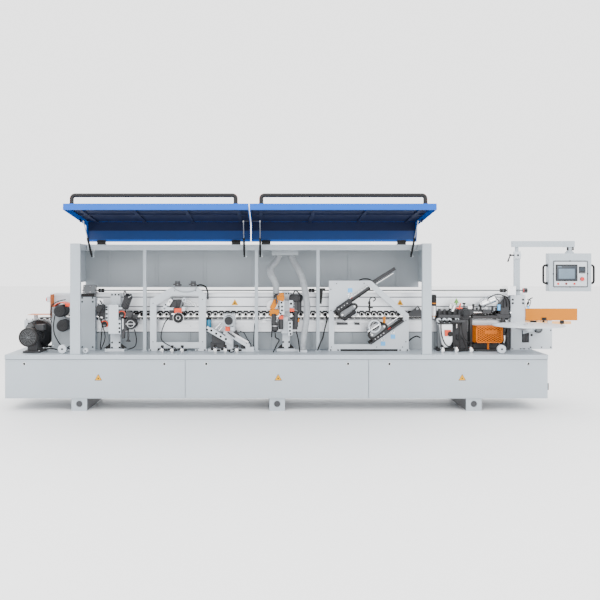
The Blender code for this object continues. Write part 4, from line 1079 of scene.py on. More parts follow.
def fine_trimming():
    finish_node("fine_trim_unit", PLATE, 0.002)
    # Painted shade: black discs in the guide holes stand in for the shade inside them.
    holes = Kit("fine_trim_guide_hole_shade", "machine", BLACK, bevel=0.0005)
    for across, up in ((-0.566, 0.78), (-0.515, 0.748), (-0.468, 0.718), (-0.415, 0.692)):
        holes.bar((across, 0.2885, up), (across, 0.293, up), 0.012, 20)
    holes.bar((-0.2, 0.2885, 0.652), (-0.2, 0.293, 0.652), 0.007, 18).done()
    rails = Kit("fine_trim_rails", "machine", STEEL, bevel=0.001)
    rails.box((-0.63, 0.3, 0.742), (-0.4, 0.326, 0.766), (0.566, "Y"))
    rails.box((-0.365, 0.284, 0.694), (-0.17, 0.2895, 0.716), (0.515, "Y"))
    rails.bar((-0.52, 0.27, 0.8), (-0.462, 0.27, 0.862), 0.013, 20)
    rails.bar((-0.485, 0.26, 0.78), (-0.445, 0.26, 0.825), 0.01, 20).done()
    dark = Kit("fine_trim_machinery", "machine", DARK)
    dark.box((-0.56, 0.336, 0.64), (-0.345, 0.4, 0.735))
    dark.box((-0.575, 0.345, 0.5886), (-0.43, 0.42, 0.65))
    dark.box((-0.26, 0.33, 0.5886), (-0.215, 0.39, 0.665))
    dark.box((-0.325, 0.3, 0.7), (-0.285, 0.345, 0.78), (-0.5, "Y"))
    dark.bar((-0.395, 0.24, 0.77), (-0.318, 0.24, 0.712), 0.008, 14).done()
    motor = Kit("fine_trim_motor", "machine", DARK, bevel=0.001)
    finned_motor(motor, (-0.38, 0.15, 0.89), (-0.38, 0.31, 0.89), 0.045, 16)
    motor.done()
    shell = Kit("fine_trim_motor_shell", "machine", PLATE)
    ring = [(0.052 * math.cos(a) + 0.01 * (math.cos(a) > 0) - 0.005, 0.062 * math.sin(a)) for a in
            [2 * math.pi * step / 32 for step in range(32)]]
    outline = [(-0.38 + x, 0.893 + z) for x, z in ring]
    inner = [(-0.38 + x * 0.88, 0.893 + z * 0.88) for x, z in ring]
    shell.plate(outline, 0.175, 0.29, [inner]).done()
    red = Kit("fine_trim_red_block", "machine", RED_ORANGE)
    red.box((-0.418, 0.225, 0.78), (-0.372, 0.29, 0.825)).done()
    side = Kit("fine_trim_side_block", "machine", PLATE)
    side.box((-0.366, 0.225, 0.786), (-0.33, 0.29, 0.824)).done()
    silver = Kit("line_regulators", "machine", BRIGHT, bevel=0.0008)
    black = Kit("line_fittings", "machine", BLACK, bevel=0.0008)
    spots = [(-1.065, 0.23), (-0.962, 0.22), (-0.86, 0.226), (-0.52, 0.2), (-0.415, 0.196), (-0.3, 0.204)]
    spots += [(1.8, 0.18), (1.945, 0.2), (2.095, 0.195)]
    for across, deep in spots:
        regulator(silver, black, across, deep, 0.07 if across < -0.7 else 0.078)
    silver.done()
    black.done()
    cables = Kit("fine_trim_cables", "machine", BLACK, bevel=0)
    cables.cables(
        0.0045,
        [(-0.27, 0.27, 0.775), (-0.225, 0.26, 0.755), (-0.19, 0.27, 0.69), (-0.16, 0.3, 0.64),
            (-0.15, 0.33, 0.5886)],
        [(-0.13, 0.34, 0.5886), (-0.128, 0.35, 0.7), (-0.122, 0.4, 0.8), (-0.12, 0.45, 0.84)],
        [(-0.415, 0.18, 0.6), (-0.36, 0.165, 0.57), (-0.33, 0.17, 0.58), (-0.3, 0.18, 0.61)],
    )
    cables.done()


def rough_trimming():
    finish_node("rough_trim_post", PLATE, 0.002)
    bolts = Kit("rough_trim_bolts", "machine", BLACK, bevel=0.0005)
    for across in (0.184, 0.21, 0.236):
        bolts.screw((across, 0.36, 1.16), FRONT, 0.008, 0.005)
    for across in (0.18, 0.24):
        for up in (0.655, 0.598):
            bolts.screw((across, 0.36, up), FRONT, 0.0095, 0.005)
    for across in (0.212, 0.232):
        bolts.screw((across, 0.36, 0.885), FRONT, 0.006, 0.004)
    bolts.done()
    wings = Kit("rough_trim_gussets", "machine", BLACK)
    wings.plate([(0.118, 0.5886), (0.171, 0.5886), (0.171, 0.64)], 0.374, 0.384)
    wings.plate([(0.249, 0.5886), (0.297, 0.5886), (0.249, 0.64)], 0.374, 0.384).done()
    for name, at in (("upper", (0.21, 0.3, 1.04)), ("lower", (0.21, 0.3, 0.85))):
        trim_head(name, Matrix.Translation(at))
    cables = Kit("rough_trim_cables", "machine", BLACK, bevel=0)
    cables.cables(
        0.0065,
        [(0.095, 0.24, 0.76), (0.1, 0.23, 0.715), (0.135, 0.22, 0.69), (0.11, 0.21, 0.64),
            (0.075, 0.22, 0.564)],
        [(0.31, 0.24, 0.78), (0.33, 0.23, 0.7), (0.338, 0.19, 0.64), (0.345, 0.185, 0.57)],
        [(0.1, 0.28, 1.13), (0.08, 0.32, 1.19), (0.085, 0.36, 1.1), (0.07, 0.4, 0.95), (0.06, 0.43, 0.7)],
        [(0.37, 0.33, 1.08), (0.345, 0.35, 1.16), (0.3, 0.37, 1.185), (0.27, 0.38, 1.1)],
    )
    cables.done()


def trim_head(name, at):
    body = f"trim_head_{name}"
    white = Kit(f"{body}_plate", body, PLATE, at)
    # Painted shade: black discs in the plate's holes stand in for the shade inside them.
    holes = Kit(f"{body}_holes", body, BLACK, at, bevel=0)
    dark = Kit(f"{body}_machinery", body, DARK, at, bevel=0.0015)
    red = Kit(f"{body}_clamp", body, RED_ORANGE, at)
    silver = Kit(f"{body}_metal", body, STEEL, at, bevel=0.001)
    orange = Kit(f"{body}_hood", body, AMBER, at, bevel=0.004)
    if name == "upper":
        slotted(
            white, holes, (-0.068, -0.044, -0.095), (-0.02, -0.01, 0.055),
            [(-0.05, 0.03), (-0.045, -0.01), (-0.045, -0.05), (-0.058, -0.082)],
        )
        white.box((-0.02, 0.01, -0.06), (0.05, 0.057, 0.05))
        slotted(white, holes, (0.03, -0.044, -0.02), (0.068, -0.01, 0.055), [(0.048, 0.02)], 0.013)
        red.box((0.034, -0.052, -0.062), (0.08, -0.005, -0.03))
        finned_motor(dark, (0.155, -0.055, 0.078), (0.045, 0.005, 0.078), 0.04, 16)
        dark.box((0.085, -0.052, -0.045), (0.115, 0.01, 0.04))
        dark.bar((0.135, -0.03, 0.045), (0.135, -0.03, -0.075), 0.023, 20)
        dark.bar((-0.105, -0.062, 0.125), (-0.102, -0.062, 0.02), 0.008, 14)
        dark.bar((-0.105, -0.062, 0.128), (-0.105, -0.062, 0.106), 0.028, 20, 0.01)
        orange.box((-0.108, -0.05, 0.052), (-0.022, 0.02, 0.098), (0.3, "Y"))
        orange.box((-0.078, -0.045, 0.06), (-0.024, 0.02, 0.13), (-0.15, "Y"))
        orange.box((-0.152, -0.05, -0.04), (-0.1, 0.02, 0.062), (0.45, "Y"))
        orange.box((-0.17, -0.05, -0.096), (-0.075, 0.02, -0.04), (0.06, "Y"))
        orange.box((-0.172, -0.048, -0.115), (-0.135, 0.015, -0.045))
        silver.bar((-0.145, 0.022, 0.0), (-0.145, 0.034, 0.0), 0.058, 36)
        silver.ring((-0.106, -0.035, 0.128), UP, 0.033, 0.003)
    else:
        slotted(
            white, holes, (0.018, -0.044, -0.118), (0.062, -0.01, 0.03),
            [(0.038, 0.008), (0.04, -0.03), (0.036, -0.07), (0.044, -0.102)],
        )
        white.box((-0.05, 0.01, -0.1), (0.02, 0.057, 0.07))
        white.box((-0.15, -0.045, 0.02), (-0.095, -0.01, 0.034))
        red.box((-0.076, -0.052, 0.052), (-0.03, -0.005, 0.086))
        dark.bar((-0.055, -0.02, 0.045), (-0.055, -0.02, -0.055), 0.024, 20)
        finned_motor(dark, (-0.13, -0.04, 0.105), (-0.13, -0.04, -0.02), 0.026, 14)
        dark.bar((-0.118, -0.04, -0.02), (-0.118, -0.04, -0.062), 0.034, 24, 0.038)
        dark.bar((-0.118, -0.04, -0.062), (-0.118, -0.04, -0.078), 0.038, 24, 0.02)
        dark.box((-0.105, -0.028, -0.03), (-0.045, 0.03, 0.025))
        dark.box((0.062, -0.02, -0.06), (0.115, 0.03, 0.075))
        dark.bar((0.1, -0.048, 0.13), (0.1, -0.048, -0.03), 0.021, 20)
        orange.box((0.104, -0.056, 0.018), (0.134, -0.02, 0.058))
        silver.ring((-0.118, -0.04, -0.02), UP, 0.03, 0.005)
        silver.bar((-0.245, 0.0, 0.045), (-0.16, 0.0, 0.045), 0.012, 18)
        silver.box((-0.25, -0.012, 0.01), (-0.215, 0.012, 0.036))
    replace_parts(silver.done(), body)
    for kit in (white, holes, dark, red, orange):
        kit.done()


HOSE_ROUTES = {
    "left": (
        [(0.13, 0.5, 1.545), (0.105, 0.45, 1.49), (0.05, 0.36, 1.43), (0.046, 0.29, 1.37),
            (0.08, 0.26, 1.31),
         (0.102, 0.26, 1.245), (0.104, 0.265, 1.17)],
        1.1505,
    ),
    "right": (
        [(0.27, 0.5, 1.545), (0.3, 0.44, 1.48), (0.345, 0.34, 1.4), (0.385, 0.27, 1.28),
            (0.412, 0.22, 1.125),
         (0.42, 0.2, 1.0), (0.408, 0.2, 0.86), (0.39, 0.22, 0.74), (0.375, 0.25, 0.605)],
        0.5855,
    ),
}


def even_route(points, pitch):
    """The same route with its points an even distance apart."""
    points = [Vector(point) for point in points]
    total = sum((there - here).length for here, there in zip(points, points[1:]))
    count = max(2, round(total / pitch))
    route = [points[0]]
    left = step = total / count
    for here, there in zip(points, points[1:]):
        span = (there - here).length
        place = 0.0
        while span - place >= left - 1e-9 and len(route) < count:
            place += left
            route.append(here.lerp(there, place / span))
            left = step
        left -= span - place
    return [*route, points[-1]]


def dust_hoses():
    for name, (knots, bottom) in HOSE_ROUTES.items():
        curve = smooth_route(knots, 16)
        route = [
            Vector((knots[0][0], knots[0][1], 1.5597)), *curve,
            Vector((knots[-1][0], knots[-1][1], bottom)),
        ]
        route = even_route(route, 0.0022)
        hose = Kit(f"dust_hose_skin_{name}", "machine", HOSE, bevel=0)
        hose.pipe(route, 0.0322, 28, wave=lambda along: 0.0016 * math.cos(2 * math.pi * along / 0.0132))
        piece = hose.done()
        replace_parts(piece, f"dust_hose_{name}")
        world = [LINE @ point for point in route[::6]]
        world[-1] = LINE @ route[-1]
        clamp = Kit(f"dust_hose_clamp_{name}", "machine", STEEL, bevel=0.0005)
        top = Vector(route[0])
        clamp.ring((top.x, top.y, 1.546), UP, 0.0345, 0.0026, 40, 8)
        clamp.bar((top.x + 0.034, top.y - 0.012, 1.546), (top.x + 0.034, top.y + 0.01, 1.546), 0.0045, 12)
        clamp.done()


def end_cutting():
    finish_node("end_cut_frame", PLATE, 0.002)
    bolts = Kit("end_cut_bolts", "machine", BLACK, bevel=0.0005)
    for across in (0.672, 0.748, 1.392, 1.468):
        bolts.screw((across, 0.322, 0.5755), FRONT, 0.008, 0.007)
    for across, up in ((0.735, 1.265), (0.675, 1.205), (0.675, 0.985), (1.02, 1.268), (1.455, 0.88),
        (1.455, 0.66),
                       (1.15, 0.605), (1.42, 0.605), (0.68, 0.605)):
        bolts.screw((across, 0.335, up), FRONT, 0.0055, 0.003)
    bolts.done()
    feet = Kit("end_cut_feet", "machine", PLATE)
    feet.box((0.65, 0.322, DECK + GAP), (0.77, 0.3345, 0.5845))
    feet.box((1.372, 0.322, DECK + GAP), (1.49, 0.3345, 0.5845)).done()
    # Painted shade: a thin black sheet in the gap between the two feet stands in for the shade behind it.
    slot_shade = Kit("end_cut_slot_shade", "machine", BLACK, bevel=0.001)
    slot_shade.box((0.774, 0.332, DECK + GAP), (1.368, 0.3348, 0.5835)).done()
    rails = Kit("end_cut_rails", "machine", DARK, bevel=0.0015)
    upper = math.atan2(0.255, 0.366)
    lower = math.atan2(0.246, 0.355)
    rails.box((0.66, 0.314, 1.088), (1.108, 0.3345, 1.106), (-upper, "Y"))
    rails.box((1.045, 0.314, 0.748), (1.47, 0.3345, 0.768), (-lower, "Y"))
    rails.box((1.085, 0.363, 1.33), (1.37, 0.39, 1.364), (-math.radians(32), "Y"))
    rails.box((1.095, 0.34, 1.262), (1.145, 0.3345 + 0.04, 1.292), (-math.radians(32), "Y"))
    rails.plate(
        [(1.484, 0.955), (1.5, 0.955), (1.59, 1.035), (1.64, 0.96), (1.64, 0.915), (1.5, 0.915)], 0.38,
        0.4,
    )
    rails.box((0.745, 0.42, 0.828), (0.86, 0.44, 0.852))
    rails.box((0.93, 0.42, 0.828), (0.985, 0.44, 0.852)).done()
    rods = Kit("end_cut_rods", "machine", BRIGHT, bevel=0.0008)
    rods.bar((1.12, 0.372, 1.268), (1.345, 0.372, 1.408), 0.006, 16)
    rods.bar((1.15, 0.372, 1.262), (1.33, 0.372, 1.374), 0.0085, 16)
    rods.bar((1.16, 0.31, 0.772), (1.415, 0.31, 0.948), 0.0055, 16)
    rods.bar((0.72, 0.308, 1.01), (1.06, 0.308, 1.246), 0.0048, 14)
    rods.bar((1.58, 0.37, 1.0), (1.58, 0.379, 1.0), 0.013, 20)
    for across, up in ((0.875, 1.14), (1.315, 0.768), (1.212, 0.696)):
        rods.ring((across, 0.3335, up), FRONT, 0.0215, 0.003, 30, 8)
    rods.done()
    lips = Kit("end_cut_hole_lips", "machine", BLACK, bevel=0.0008)
    lips.plate([(0.708, 0.979), (1.074, 1.234), (1.09, 1.206), (0.724, 0.951)], 0.3365, 0.3605)
    lips.plate([(1.074, 0.633), (1.429, 0.879), (1.413, 0.907), (1.058, 0.661)], 0.3365, 0.3605).done()
    tags = Kit("end_cut_tags", "machine", TAG_BLUE, bevel=0.0006)
    for across, up in ((0.875, 1.194), (1.32, 0.713), (1.217, 0.64)):
        tags.box((across - 0.024, 0.3325, up - 0.022), (across + 0.024, 0.3349, up + 0.022))
    tags.done()
    marks = Kit("end_cut_stroke_marks", "machine", RED, bevel=0)
    marks.box((1.166, 0.3338, 0.726), (1.2, 0.3349, 0.733), (-lower, "Y"))
    marks.box((1.262, 0.3338, 0.793), (1.3, 0.3349, 0.8), (-lower, "Y"))
    marks.box((0.872, 0.3338, 1.112), (0.905, 0.3349, 1.118), (-upper, "Y")).done()
    sensor = Kit("end_cut_sensor", "end_saw_upper", BLACK, bevel=0.001)
    sensor.bar((1.072, 0.3, 0.985), (1.072, 0.3, 1.075), 0.01, 18)
    sensor.box((1.058, 0.29, 1.01), (1.108, 0.31, 1.022))
    sensor.box((1.06, 0.31, 1.05), (1.084, 0.33, 1.08))
    lead = [
        (1.072, 0.3, 1.075), (1.078, 0.3, 1.11), (1.11, 0.3, 1.125), (1.135, 0.305, 1.105),
        (1.11, 0.31, 1.08),
    ]
    sensor.cables(0.006, lead).done()
    cables = Kit("end_cut_cables", "machine", BLACK, bevel=0)
    cables.cables(
        0.0075,
        [(0.59, 0.33, 0.7), (0.56, 0.31, 0.64), (0.535, 0.31, 0.57)],
        [(0.6, 0.34, 0.94), (0.64, 0.4, 0.9), (0.61, 0.36, 0.78), (0.59, 0.33, 0.7)],
        [(0.97, 0.345, 1.297), (1.01, 0.35, 1.312), (1.07, 0.352, 1.31), (1.11, 0.355, 1.285),
            (1.15, 0.37, 1.24)],
        [(1.495, 0.4, 0.66), (1.53, 0.38, 0.695), (1.57, 0.36, 0.715), (1.61, 0.36, 0.7)],
    )
    cables.box((0.56, 0.38, 1.185), (0.62, 0.42, 1.215))
    cables.box((0.555, 0.385, 1.05), (0.59, 0.425, 1.2), (0.1, "Y")).done()
    saw("upper", (0.8, 0.25, 1.01), upper, -1)
    saw("lower", (1.15, 0.25, 0.74), lower, 1)


def saw(name, place, tilt, side):
    """A cut-off saw: motor, belt guard and blade hood on a carriage along the inclined rail."""
    body = f"end_saw_{name}"
    at = Matrix.Translation(place) @ Matrix.Rotation(-tilt, 4, "Y")
    dark = Kit(f"{body}_machinery", body, DARK, at, bevel=0.002)
    dark.box((-0.072, 0.002, -0.034), (0.074, 0.0835, 0.034))
    dark.box((-0.06, 0.05, -0.048), (0.11, 0.08, 0.048))
    dark.bar((0.05, 0.051, side * 0.06), (0.05, 0.079, side * 0.06), 0.069, 36)
    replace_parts(dark.done(), body)
    motor = Kit(f"{body}_motor", body, STEEL if name == "lower" else DARK, at, bevel=0.001)
    finned_motor(motor, (-0.07, -0.01, side * 0.07), (0.085, -0.01, side * 0.07), 0.043, 18)
    motor.done()
    belt = Kit(f"{body}_belt_guard", body, BLACK, at, bevel=0.002)
    outline = []
    for step in range(13):
        angle = math.pi / 2 + math.pi * step / 12
        outline.append((-0.05 + 0.046 * math.cos(angle), side * 0.04 + 0.046 * math.sin(angle)))
    for step in range(13):
        angle = -math.pi / 2 + math.pi * step / 12
        outline.append((0.1 + 0.036 * math.cos(angle), side * 0.04 + 0.036 * math.sin(angle)))
    inner = [(0.025 + (x - 0.025) * 0.8, side * 0.04 + (z - side * 0.04) * 0.66) for x, z in outline]
    belt.plate(outline, -0.058, -0.042, [inner]).done()
    fill = Kit(f"{body}_belt_cover", body, MID_GREY, at, bevel=0)
    fill.plate(inner, -0.05, -0.044).done()
    bright = Kit(f"{body}_metal", body, BRIGHT, at, bevel=0.0008)
    bright.ring((0.052, 0.044, side * 0.06), FRONT, 0.062, 0.0045, 44, 10)
    for across in (-0.05, 0.1):
        bright.bar((across, -0.062, side * 0.04), (across, -0.056, side * 0.04), 0.01, 20)
    bright.bar((0.052, 0.03, side * 0.06), (0.052, 0.052, side * 0.06), 0.016, 24)
    for step in range(4):
        bright.screw((-0.045 + step * 0.035, 0.002, -side * 0.022), FRONT, 0.0055, 0.004)
    bright.done()
    if name == "lower":
        shield = Kit(f"{body}_shield", body, AMBER, at, bevel=0.002)
        shield.box((0.118, 0.0, 0.0), (0.14, 0.05, 0.125), (tilt, "Y")).done()
        ring = Kit(f"{body}_dust_ring", body, PLATE, at, bevel=0.001)
        ring.ring((0.02, -0.055, 0.098), FRONT, 0.058, 0.0085, 44, 10).done()
    else:
        shield = Kit(f"{body}_shield", body, PLATE, at, bevel=0.002)
        shield.box((0.07, 0.01, -0.135), (0.095, 0.06, -0.055), (tilt, "Y")).done()


def gluing():
    dark = Kit("glue_machinery", "machine", DARK, bevel=0.002)
    dark.box((1.792, 0.41, 0.885), (2.14, 0.494, 0.975))
    dark.box((1.795, 0.33, 0.905), (2.02, 0.41, 0.938))
    dark.box((1.96, 0.4, DECK + 0.02), (2.11, 0.47, 0.885))
    dark.box((1.79, 0.3, 0.862), (2.06, 0.42, 0.888))
    for step in range(6):
        across = 1.815 + step * 0.052
        dark.bar((across, 0.395, 0.935), (across, 0.395, 1.0 - 0.006 * (step % 3)), 0.016, 18)
    dark.box((2.02, 0.385, 0.93), (2.15, 0.494, 1.008))
    dark.bar((2.085, 0.35, 0.955), (2.085, 0.395, 0.955), 0.04, 28)
    dark.bar((2.085, 0.34, 0.955), (2.085, 0.352, 0.955), 0.027, 24)
    dark.box((2.15, 0.4, 0.94), (2.3, 0.4945, 0.985))
    dark.box((2.16, 0.38, 0.9), (2.42, 0.475, 0.928))
    dark.box((2.26, 0.345, 0.952), (2.345, 0.43, 0.992))
    for across in (2.175, 2.215, 2.255, 2.38, 2.42, 2.46):
        dark.bar((across, 0.43, 0.975), (across, 0.43, 1.02 + 0.012 * math.sin(across * 90)), 0.012, 16)
    dark.box((2.42, 0.4, 0.9), (2.55, 0.485, 0.945))
    dark.box((2.455, 0.395, 0.94), (2.545, 0.47, 1.01))
    dark.box((2.5, 0.42, 0.985), (2.556, 0.48, 1.1))
    dark.plate([(2.43, 1.01), (2.55, 1.01), (2.55, 1.12), (2.51, 1.12)], 0.44, 0.455)
    dark.box((2.135, 0.385, 0.6), (2.16, 0.47, 0.9))
    dark.box((1.945, 0.395, 0.64), (1.975, 0.41, 0.87))
    dark.box((2.475, 0.4, 0.6), (2.505, 0.47, 0.9))
    dark.box((1.78, 0.3, DECK + GAP), (2.42, 0.48, 0.583))
    dark.box((2.17, 0.41, 0.583), (2.44, 0.475, 0.64))
    dark.box((2.19, 0.4, 0.63), (2.23, 0.44, 0.7))
    dark.bar((2.02, 0.38, 0.7), (2.02, 0.4, 0.7), 0.03, 24)
    dark.bar((2.545, 0.43, 0.92), (2.575, 0.43, 0.92), 0.018, 20)
    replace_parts(dark.done(), "glue_unit")
    knobs = Kit("glue_knobs", "machine", BLACK, bevel=0.001)
    knobs.bar((2.07, 0.38, 1.045), (2.07, 0.38, 1.062), 0.01, 18, 0.024)
    knobs.bar((2.07, 0.38, 1.0), (2.07, 0.38, 1.046), 0.006, 14)
    for across, up in ((2.17, 1.05), (2.235, 1.042), (2.275, 1.03), (1.925, 1.008), (1.895, 0.985)):
        knobs.bar((across, 0.39, up - 0.02), (across, 0.39, up), 0.013, 16)
    knobs.bar((1.905, 0.282, 0.745), (1.905, 0.302, 0.745), 0.027, 28)
    for across in (1.815, 1.85, 1.885):
        knobs.bar((across, 0.33, 0.846), (across, 0.33, 0.862), 0.011, 16)
    knobs.box((1.79, 0.3, 0.846), (2.01, 0.392, 0.858))
    knobs.box((1.76, 0.3, 0.59), (1.786, 0.33, 0.612)).done()
    column = Kit("glue_cylinder", "machine", STEEL, bevel=0.001)
    column.bar((1.755, 0.38, 0.93), (1.755, 0.38, 1.048), 0.026, 30)
    column.bar((1.755, 0.38, 0.896), (1.755, 0.38, 0.932), 0.019, 24).done()
    cap = Kit("glue_cylinder_cap", "machine", BLACK, bevel=0.0015)
    cap.bar((1.755, 0.38, 1.062), (1.755, 0.38, 1.138), 0.0262, 30)
    cap.bar((1.755, 0.38, 1.138), (1.755, 0.38, 1.149), 0.0262, 30, 0.018)
    cap.bar((1.755, 0.38, 1.03), (1.755, 0.38, 1.052), 0.0268, 30)
    cap.box((1.74, 0.405, 0.905), (1.8, 0.44, 0.96)).done()
    band = Kit("glue_cylinder_band", "machine", AMBER, bevel=0.0008)
    band.bar((1.755, 0.38, 1.0525), (1.755, 0.38, 1.062), 0.0268, 30)
    band.bar((1.755, 0.38, 0.92), (1.755, 0.38, 0.926), 0.02, 24).done()
    rollers = Kit("glue_rollers", "machine", PLATE, bevel=0.002)
    for across in (1.792, 1.85, 1.902):
        rollers.bar((across, 0.3, 0.884), (across, 0.33, 0.884), 0.0235, 32)
    rollers.box((1.78, 0.318, 0.862), (1.915, 0.33, 0.88))
    rollers.bar((1.988, 0.335, 0.895), (1.988, 0.365, 0.895), 0.02, 26)
    rollers.box((1.972, 0.34, 0.86), (2.004, 0.372, 0.89)).done()
    centres = Kit("glue_roller_studs", "machine", DARK, bevel=0.0006)
    for across in (1.792, 1.85, 1.902):
        centres.screw((across, 0.3, 0.884), FRONT, 0.009, 0.003)
    centres.screw((1.988, 0.335, 0.895), FRONT, 0.008, 0.003).done()
    pot = Kit("glue_pot", "machine", ALLOY, bevel=0.004)
    outline = [(1.795, 0.842), (1.932, 0.842), (1.932, 0.662), (1.915, 0.628), (1.885, 0.606),
        (1.845, 0.606), (1.822, 0.64),
               (1.808, 0.72)]
    pot.plate(outline, 0.305, 0.42)
    pot.box((1.8, 0.312, 0.838), (1.93, 0.412, 0.848)).done()
    side = Kit("glue_pot_side", "machine", MID_GREY, bevel=0.002)
    side.box((1.79, 0.345, 0.6), (1.826, 0.415, 0.835)).done()
    red = Kit("glue_red_parts", "machine", RED_ORANGE)
    red.box((1.85, 0.286, 0.738), (1.915, 0.3055, 0.786)).box((1.852, 0.284, 0.722),
        (1.88, 0.3055, 0.745))
    red.bar((2.012, 0.36, 0.995), (2.03, 0.36, 1.06), 0.007, 14)
    red.box((1.985, 0.345, 1.003), (2.045, 0.375, 1.016)).done()
    green = Kit("glue_green_cone", "machine", GREEN)
    green.bar((1.988, 0.37, 1.062), (1.988, 0.37, 1.11), 0.026, 20, 0.002)
    green.bar((1.988, 0.37, 1.04), (1.988, 0.37, 1.063), 0.008, 14).done()
    shine = Kit("glue_bright_parts", "machine", BRIGHT, bevel=0.001)
    shine.bar((1.92, 0.345, 1.005), (1.92, 0.345, 1.05), 0.014, 22)
    shine.bar((1.935, 0.33, 0.975), (1.965, 0.33, 1.035), 0.015, 22)
    shine.bar((1.96, 0.365, 1.0), (1.96, 0.365, 1.055), 0.01, 18)
    shine.box((2.11, 0.375, 0.998), (2.155, 0.42, 1.028))
    shine.bar((2.255, 0.39, 1.045), (2.4, 0.405, 1.1), 0.03, 30)
    shine.bar((2.24, 0.388, 1.04), (2.258, 0.39, 1.047), 0.021, 24)
    shine.bar((2.17, 0.38, 0.962), (2.33, 0.38, 0.962), 0.006, 14)
    shine.bar((2.56, 0.425, 0.955), (2.576, 0.425, 0.955), 0.015, 22)
    shine.bar((1.9845, 0.34, 0.8), (1.9845, 0.34, 0.86), 0.007, 14)
    shine.bar((2.492, 0.39, 0.64), (2.492, 0.39, 0.72), 0.011, 18).done()
    small = Kit("glue_small_air_cylinder", "machine", TAG_BLUE)
    small.bar((2.43, 0.365, 0.985), (2.43, 0.365, 1.045), 0.015, 24).done()
    lines = Kit("glue_cables", "machine", BLACK, bevel=0)
    lines.cables(
        0.006,
        [(2.31, 0.37, 1.095), (2.35, 0.35, 1.135), (2.42, 0.34, 1.152), (2.48, 0.36, 1.13),
            (2.52, 0.4, 1.06), (2.53, 0.44, 1.0)],
        [(2.4, 0.38, 1.11), (2.425, 0.36, 1.085), (2.43, 0.365, 1.045)],
        [(2.47, 0.37, 1.14), (2.52, 0.38, 1.12), (2.555, 0.4, 1.06), (2.56, 0.42, 0.98)],
        [(1.812, 0.295, 0.845), (1.818, 0.29, 0.74), (1.85, 0.29, 0.65), (1.9, 0.3, 0.61),
            (1.96, 0.31, 0.6)],
        [(2.03, 0.33, 0.86), (2.035, 0.3, 0.76), (2.06, 0.29, 0.69), (2.11, 0.29, 0.655),
            (2.16, 0.32, 0.64)],
        [(2.04, 0.33, 0.7), (2.06, 0.27, 0.61), (2.02, 0.24, 0.58), (1.985, 0.25, 0.569)],
        [(2.06, 0.36, 0.89), (2.01, 0.31, 0.82), (1.998, 0.28, 0.7), (2.005, 0.27, 0.6),
            (2.015, 0.26, 0.57)],
        [(2.5, 0.4, 0.88), (2.51, 0.35, 0.8), (2.495, 0.33, 0.72), (2.492, 0.36, 0.64)],
    )
    lines.done()
    thin = Kit("glue_air_lines", "machine", GREY, bevel=0)
    for path in (
        [(2.3, 0.36, 0.99), (2.24, 0.34, 1.06), (2.3, 0.34, 1.13), (2.39, 0.35, 1.14)],
        [(2.21, 0.35, 1.0), (2.215, 0.34, 1.08), (2.29, 0.345, 1.118), (2.35, 0.36, 1.06)],
    ):
        thin.pipe(smooth_route(path, CABLE_STEPS), 0.0028, 8)
    thin.done()
    perforated_cover()


def perforated_cover():
    """The orange guard: a frame with a lattice of bars that leaves diamond holes, and a plain patch."""
    left, right, low, high, front = 2.16, 2.445, 0.655, 0.83, 0.26
    cover = Kit("glue_cover_lattice", "machine", ORANGE, bevel=0)
    for inner, outer in ((left, left + 0.016), (right - 0.016, right)):
        cover.box((inner, front, low), (outer, front + 0.004, high))
        wall = inner if inner == left else outer - 0.004
        far = inner + 0.004 if inner == left else outer
        cover.box((wall, front, low), (far, 0.399, high))
    cover.box((left, front, high - 0.014), (right, front + 0.004, high))
    cover.box((left, front, low), (right, front + 0.004, low + 0.012))
    cover.box((left, front, high - 0.004), (right, 0.399, high))
    cover.box((left + 0.1, front - 0.0006, 0.748), (right - 0.065, front + 0.0035, 0.786))
    pitch = 0.0225
    slope = 0.62
    rows = round((high - low + slope * (right - left)) / pitch)
    for step in range(rows + 1):
        base_level = low - slope * (right - left) + step * pitch
        for direction in (1, -1):
            start, end = clip_line(
                left + 0.008, right - 0.008, low + 0.006, high - 0.006, base_level, slope * direction,
                left, right,
            )
            if start:
                cover.bar((start[0], front + 0.002, start[1]), (end[0], front + 0.002, end[1]), 0.0044, 6)
    cover.box((2.296, 0.312, 0.584), (2.314, 0.328, low + 0.01))
    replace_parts(cover.done(), "glue_cover")
    # Painted shade: a black block filling the guard's inside stands in for the shade seen through the
    # lattice.
    back = Kit("glue_cover_inside_shade", "machine", BLACK, bevel=0)
    back.box((2.17, 0.3, 0.665), (2.43, 0.38, 0.82)).done()
    clips = Kit("glue_cover_screws", "machine", BLACK, bevel=0.0005)
    for across, up in ((2.168, 0.822), (2.437, 0.822), (2.168, 0.663), (2.437, 0.663)):
        clips.screw((across, front, up), FRONT, 0.005, 0.003)
    clips.done()


def clip_line(left, right, low, high, level, slope, start, end):
    """The part of a sloping line that is inside a rectangle."""
    origin = start if slope > 0 else end
    first, last = left, right
    rise = abs(slope)
    ends = []
    for bound in (low, high):
        run = (bound - level) / rise
        ends.append(origin + run if slope > 0 else origin - run)
    first = max(first, min(ends))
    last = min(last, max(ends))
    if last - first < 0.004:
        return None, None
    height = [level + rise * ((x - origin) if slope > 0 else (origin - x)) for x in (first, last)]
    return (first, height[0]), (last, height[1])


